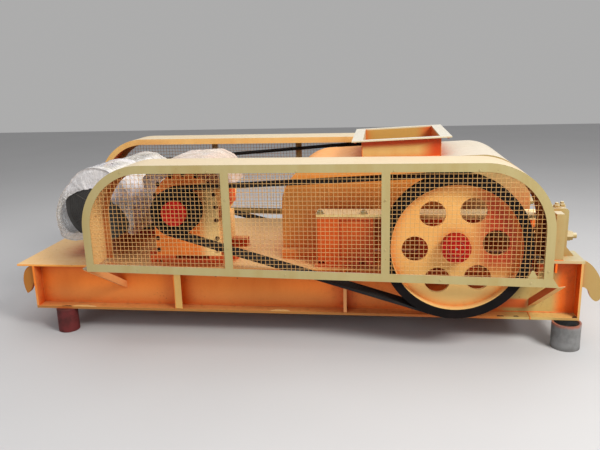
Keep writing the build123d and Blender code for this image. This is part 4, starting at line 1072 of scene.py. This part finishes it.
# ---------------------------------------------------------- guard frame screws
b = Build()
for side, (x0, x1, bars) in enumerate(((GX0, GX1, GBARS), (RX0, RX1, RBARS))):
    s = 1 if side else -1
    for bx in bars:
        for z in (650, 950):
            b.prism((bx, ry(-204) if side else -204, z), (0, s, 0), 6.5, 2.5, 10, 0.8)
    for t in (0.1, 0.29, 0.48, 0.68, 0.847):
        b.prism((x0 + t * (x1 - x0), ry(-204) if side else -204, 1120), (0, s, 0), 6.5, 2.5, 10, 0.8)
    for t in (0.12, 0.45, 0.777, 0.958):
        x = x0 + t * (x1 - x0)
        b.prism((x, ry(-204) if side else -204, guard_z(x, x0, x1) + 22), (0, s, 0), 6.5, 2.5, 10, 0.8)
    b.prism((x1 - 25, ry(-204) if side else -204, 530), (0, s, 0), 6.5, 2.5, 10, 0.8)
b.make("guard_screws", TAN, STATIC)

# small plates: corner webs of the guard and the step up to the raised end
b = Build()
for side in (0, 1):
    m = (lambda y: ry(y)) if side else (lambda y: y)
    x0 = RX0 if side else GX0
    y0, y1 = sorted((m(2), m(12)))
    b.rings([[(3158, y, 463.2), (3246, y, 463.2), (3246, y, 500), (3210, y, 516)] for y in (y0, y1)])
    yg0, yg1 = sorted((m(-200), m(-196)))
    dx = RX1 - GX1 if side else 0.0
    b.rings([[(3190 + dx, y, 484), (3248 + dx, y, 484), (3226 + dx, y, 532), (3212 + dx, y, 534)] for y in (yg0, yg1)])
b.make("step_plates", TAN, STATIC, smooth=False)

# thin tan plates down the front edges of the stiffeners: painted light, for the lit faces of the stiffeners
b = Build()
for side in (0, 1):
    y0, y1 = sorted(((ry(3.0) if side else 3.0), (ry(8.2) if side else 8.2)))
    b.box(992, 1036, y0, y1, 167.0, 434.5, 1)
b.make("stiffener_bars", BAR, STATIC, smooth=False)
b = Build()
for side in (0, 1):
    y0, y1 = sorted(((ry(3.0) if side else 3.0), (ry(8.2) if side else 8.2)))
    b.box(2111, 2132, y0, y1, 167.0, 434.5, 1)
b.make("stiffener_bars_mid", STRUT, STATIC, smooth=False)

# hardened spatter on the front edge of the lower flange
b = Build()
for x0, x1, deep in ((262, 426, 34), (1634, 1760, 40)):
    n = int((x1 - x0) / 10) + 2
    rows = []
    for i in range(n):
        x = x0 + (x1 - x0) * i / (n - 1)
        end = math.sin(math.pi * (i + 0.5) / n) ** 0.3
        h = 165.5 + (5.0 + 9.0 * abs(noise.noise(Vector((x * 0.04, 5, 2))))) * end
        w = deep * (0.6 + 0.4 * abs(noise.noise(Vector((x * 0.05, 1, 4))))) * end
        rows.append([(x, 2.0, 165.5), (x, 3.5, h - 1.5), (x, 2.0 + w * 0.6, h), (x, 2.0 + w, 165.5)])
    b.rings(rows)
b.make("flange_spatter", BAR, STATIC, smooth=False)

# scuffed and chipped places along the front edge of the lower flange
b = Build()
for x0, x1, y1 in ((180, 250, 26), (3070, 3112, 40), (3170, 3200, 46), (3520, 3552, 60)):
    n = int((x1 - x0) / 9) + 2
    top = []
    for i in range(n):
        x = x0 + (x1 - x0) * i / (n - 1)
        w = y1 * (0.35 + 0.65 * abs(noise.noise(Vector((x * 0.045, 3, 1))))) * math.sin(math.pi * (i + 0.5) / n) ** 0.4
        top.append((x, max(4.0, w)))
    b.rings([[(x, 1.0, z) for x, _ in top] + [(x, w, z) for x, w in top[::-1]] for z in (165.5, 166.8)])
b.make("flange_chips", DARK_RUST, STATIC, smooth=False)

# corner plate where the guard's left lower edge meets its strut
b = Build()
for side, x0 in ((0, GX0), (1, RX0)):
    m = (lambda y: ry(y)) if side else (lambda y: y)
    tri = [(x0 - 58, m(-148), 0), (x0 - 52, m(-78), 0), (x0 - 2, m(-78), 0), (x0 - 2, m(-190), 0)]
    b.rings([[(x, y, zz) for x, y, _ in tri] for zz in (484.0, 489.0)])
b.make("guard_corner_plates", TAN, STATIC, smooth=False)

# ------------------------------------------------------------------ the stage
floor_mat = Nodes("studio_floor")
fm = floor_mat.out(floor_mat.mix(floor_mat.noise(0.8, 2.0), (0.46, 0.46, 0.47), (0.50, 0.50, 0.51)), 0.75)
me = bpy.data.meshes.new("studio_floor")
me.from_pydata([(-14, -9, 0), (14, -9, 0), (14, 14, 0), (-14, 14, 0)], [], [(0, 1, 2, 3)])
me.materials.append(fm)
floor = bpy.data.objects.new("studio_floor", me)
scene.collection.objects.link(floor)

world = bpy.data.worlds.new("studio") if not scene.world else scene.world
scene.world = world
world.use_nodes = True
bg = world.node_tree.nodes.get("Background")
bg.inputs["Color"].default_value = (0.99, 0.985, 0.98, 1)
bg.inputs["Strength"].default_value = 0.42


def area_light(name, at, to, size, size_y, power, color=(1, 1, 1)):
    li = bpy.data.lights.new(name, "AREA")
    li.shape = "RECTANGLE"
    li.size, li.size_y = size, size_y
    li.energy = power
    li.color = color
    ob = bpy.data.objects.new(name, li)
    ob.location = at
    ob.rotation_euler = (Vector(to) - Vector(at)).to_track_quat("-Z", "Y").to_euler()
    scene.collection.objects.link(ob)


area_light("overhead", (0.0, 0.8, 5.0), (0, 0, 0), 7.0, 4.5, 170)
area_light("key_right", (4.9, -4.3, 5.4), (0.2, 0, 0.5), 2.6, 2.6, 620, (1.0, 0.97, 0.92))
area_light("front_soft", (-2.6, -6.0, 2.6), (0, 0, 0.5), 5.0, 2.6, 85, (0.96, 0.98, 1.0))

# ----------------------------------------------------------------- the camera
yaw, pitch, roll = -0.135035128, 0.247668063, 0.0282284879
fwd = Vector((math.sin(yaw) * math.cos(pitch), math.cos(yaw) * math.cos(pitch), -math.sin(pitch)))
right = Vector((math.cos(yaw), -math.sin(yaw), 0))
down = fwd.cross(right)
ix = right * math.cos(roll) + down * math.sin(roll)
iy = down * math.cos(roll) - right * math.sin(roll)
cam = bpy.data.cameras.new("camera")
cam.sensor_fit = "HORIZONTAL"
cam.sensor_width = 36.0
cam.lens = 36.0 * 616.676 / 600.0
cam.clip_end = 100
cam_ob = bpy.data.objects.new("camera", cam)
rot = Matrix((ix, -iy, -fwd)).transposed()
cam_ob.matrix_world = Matrix.Translation(P(2349.18, -3718.87, 1697.63)) @ rot.to_4x4()
scene.collection.objects.link(cam_ob)
scene.camera = cam_ob
scene.view_settings.view_transform = "Standard"
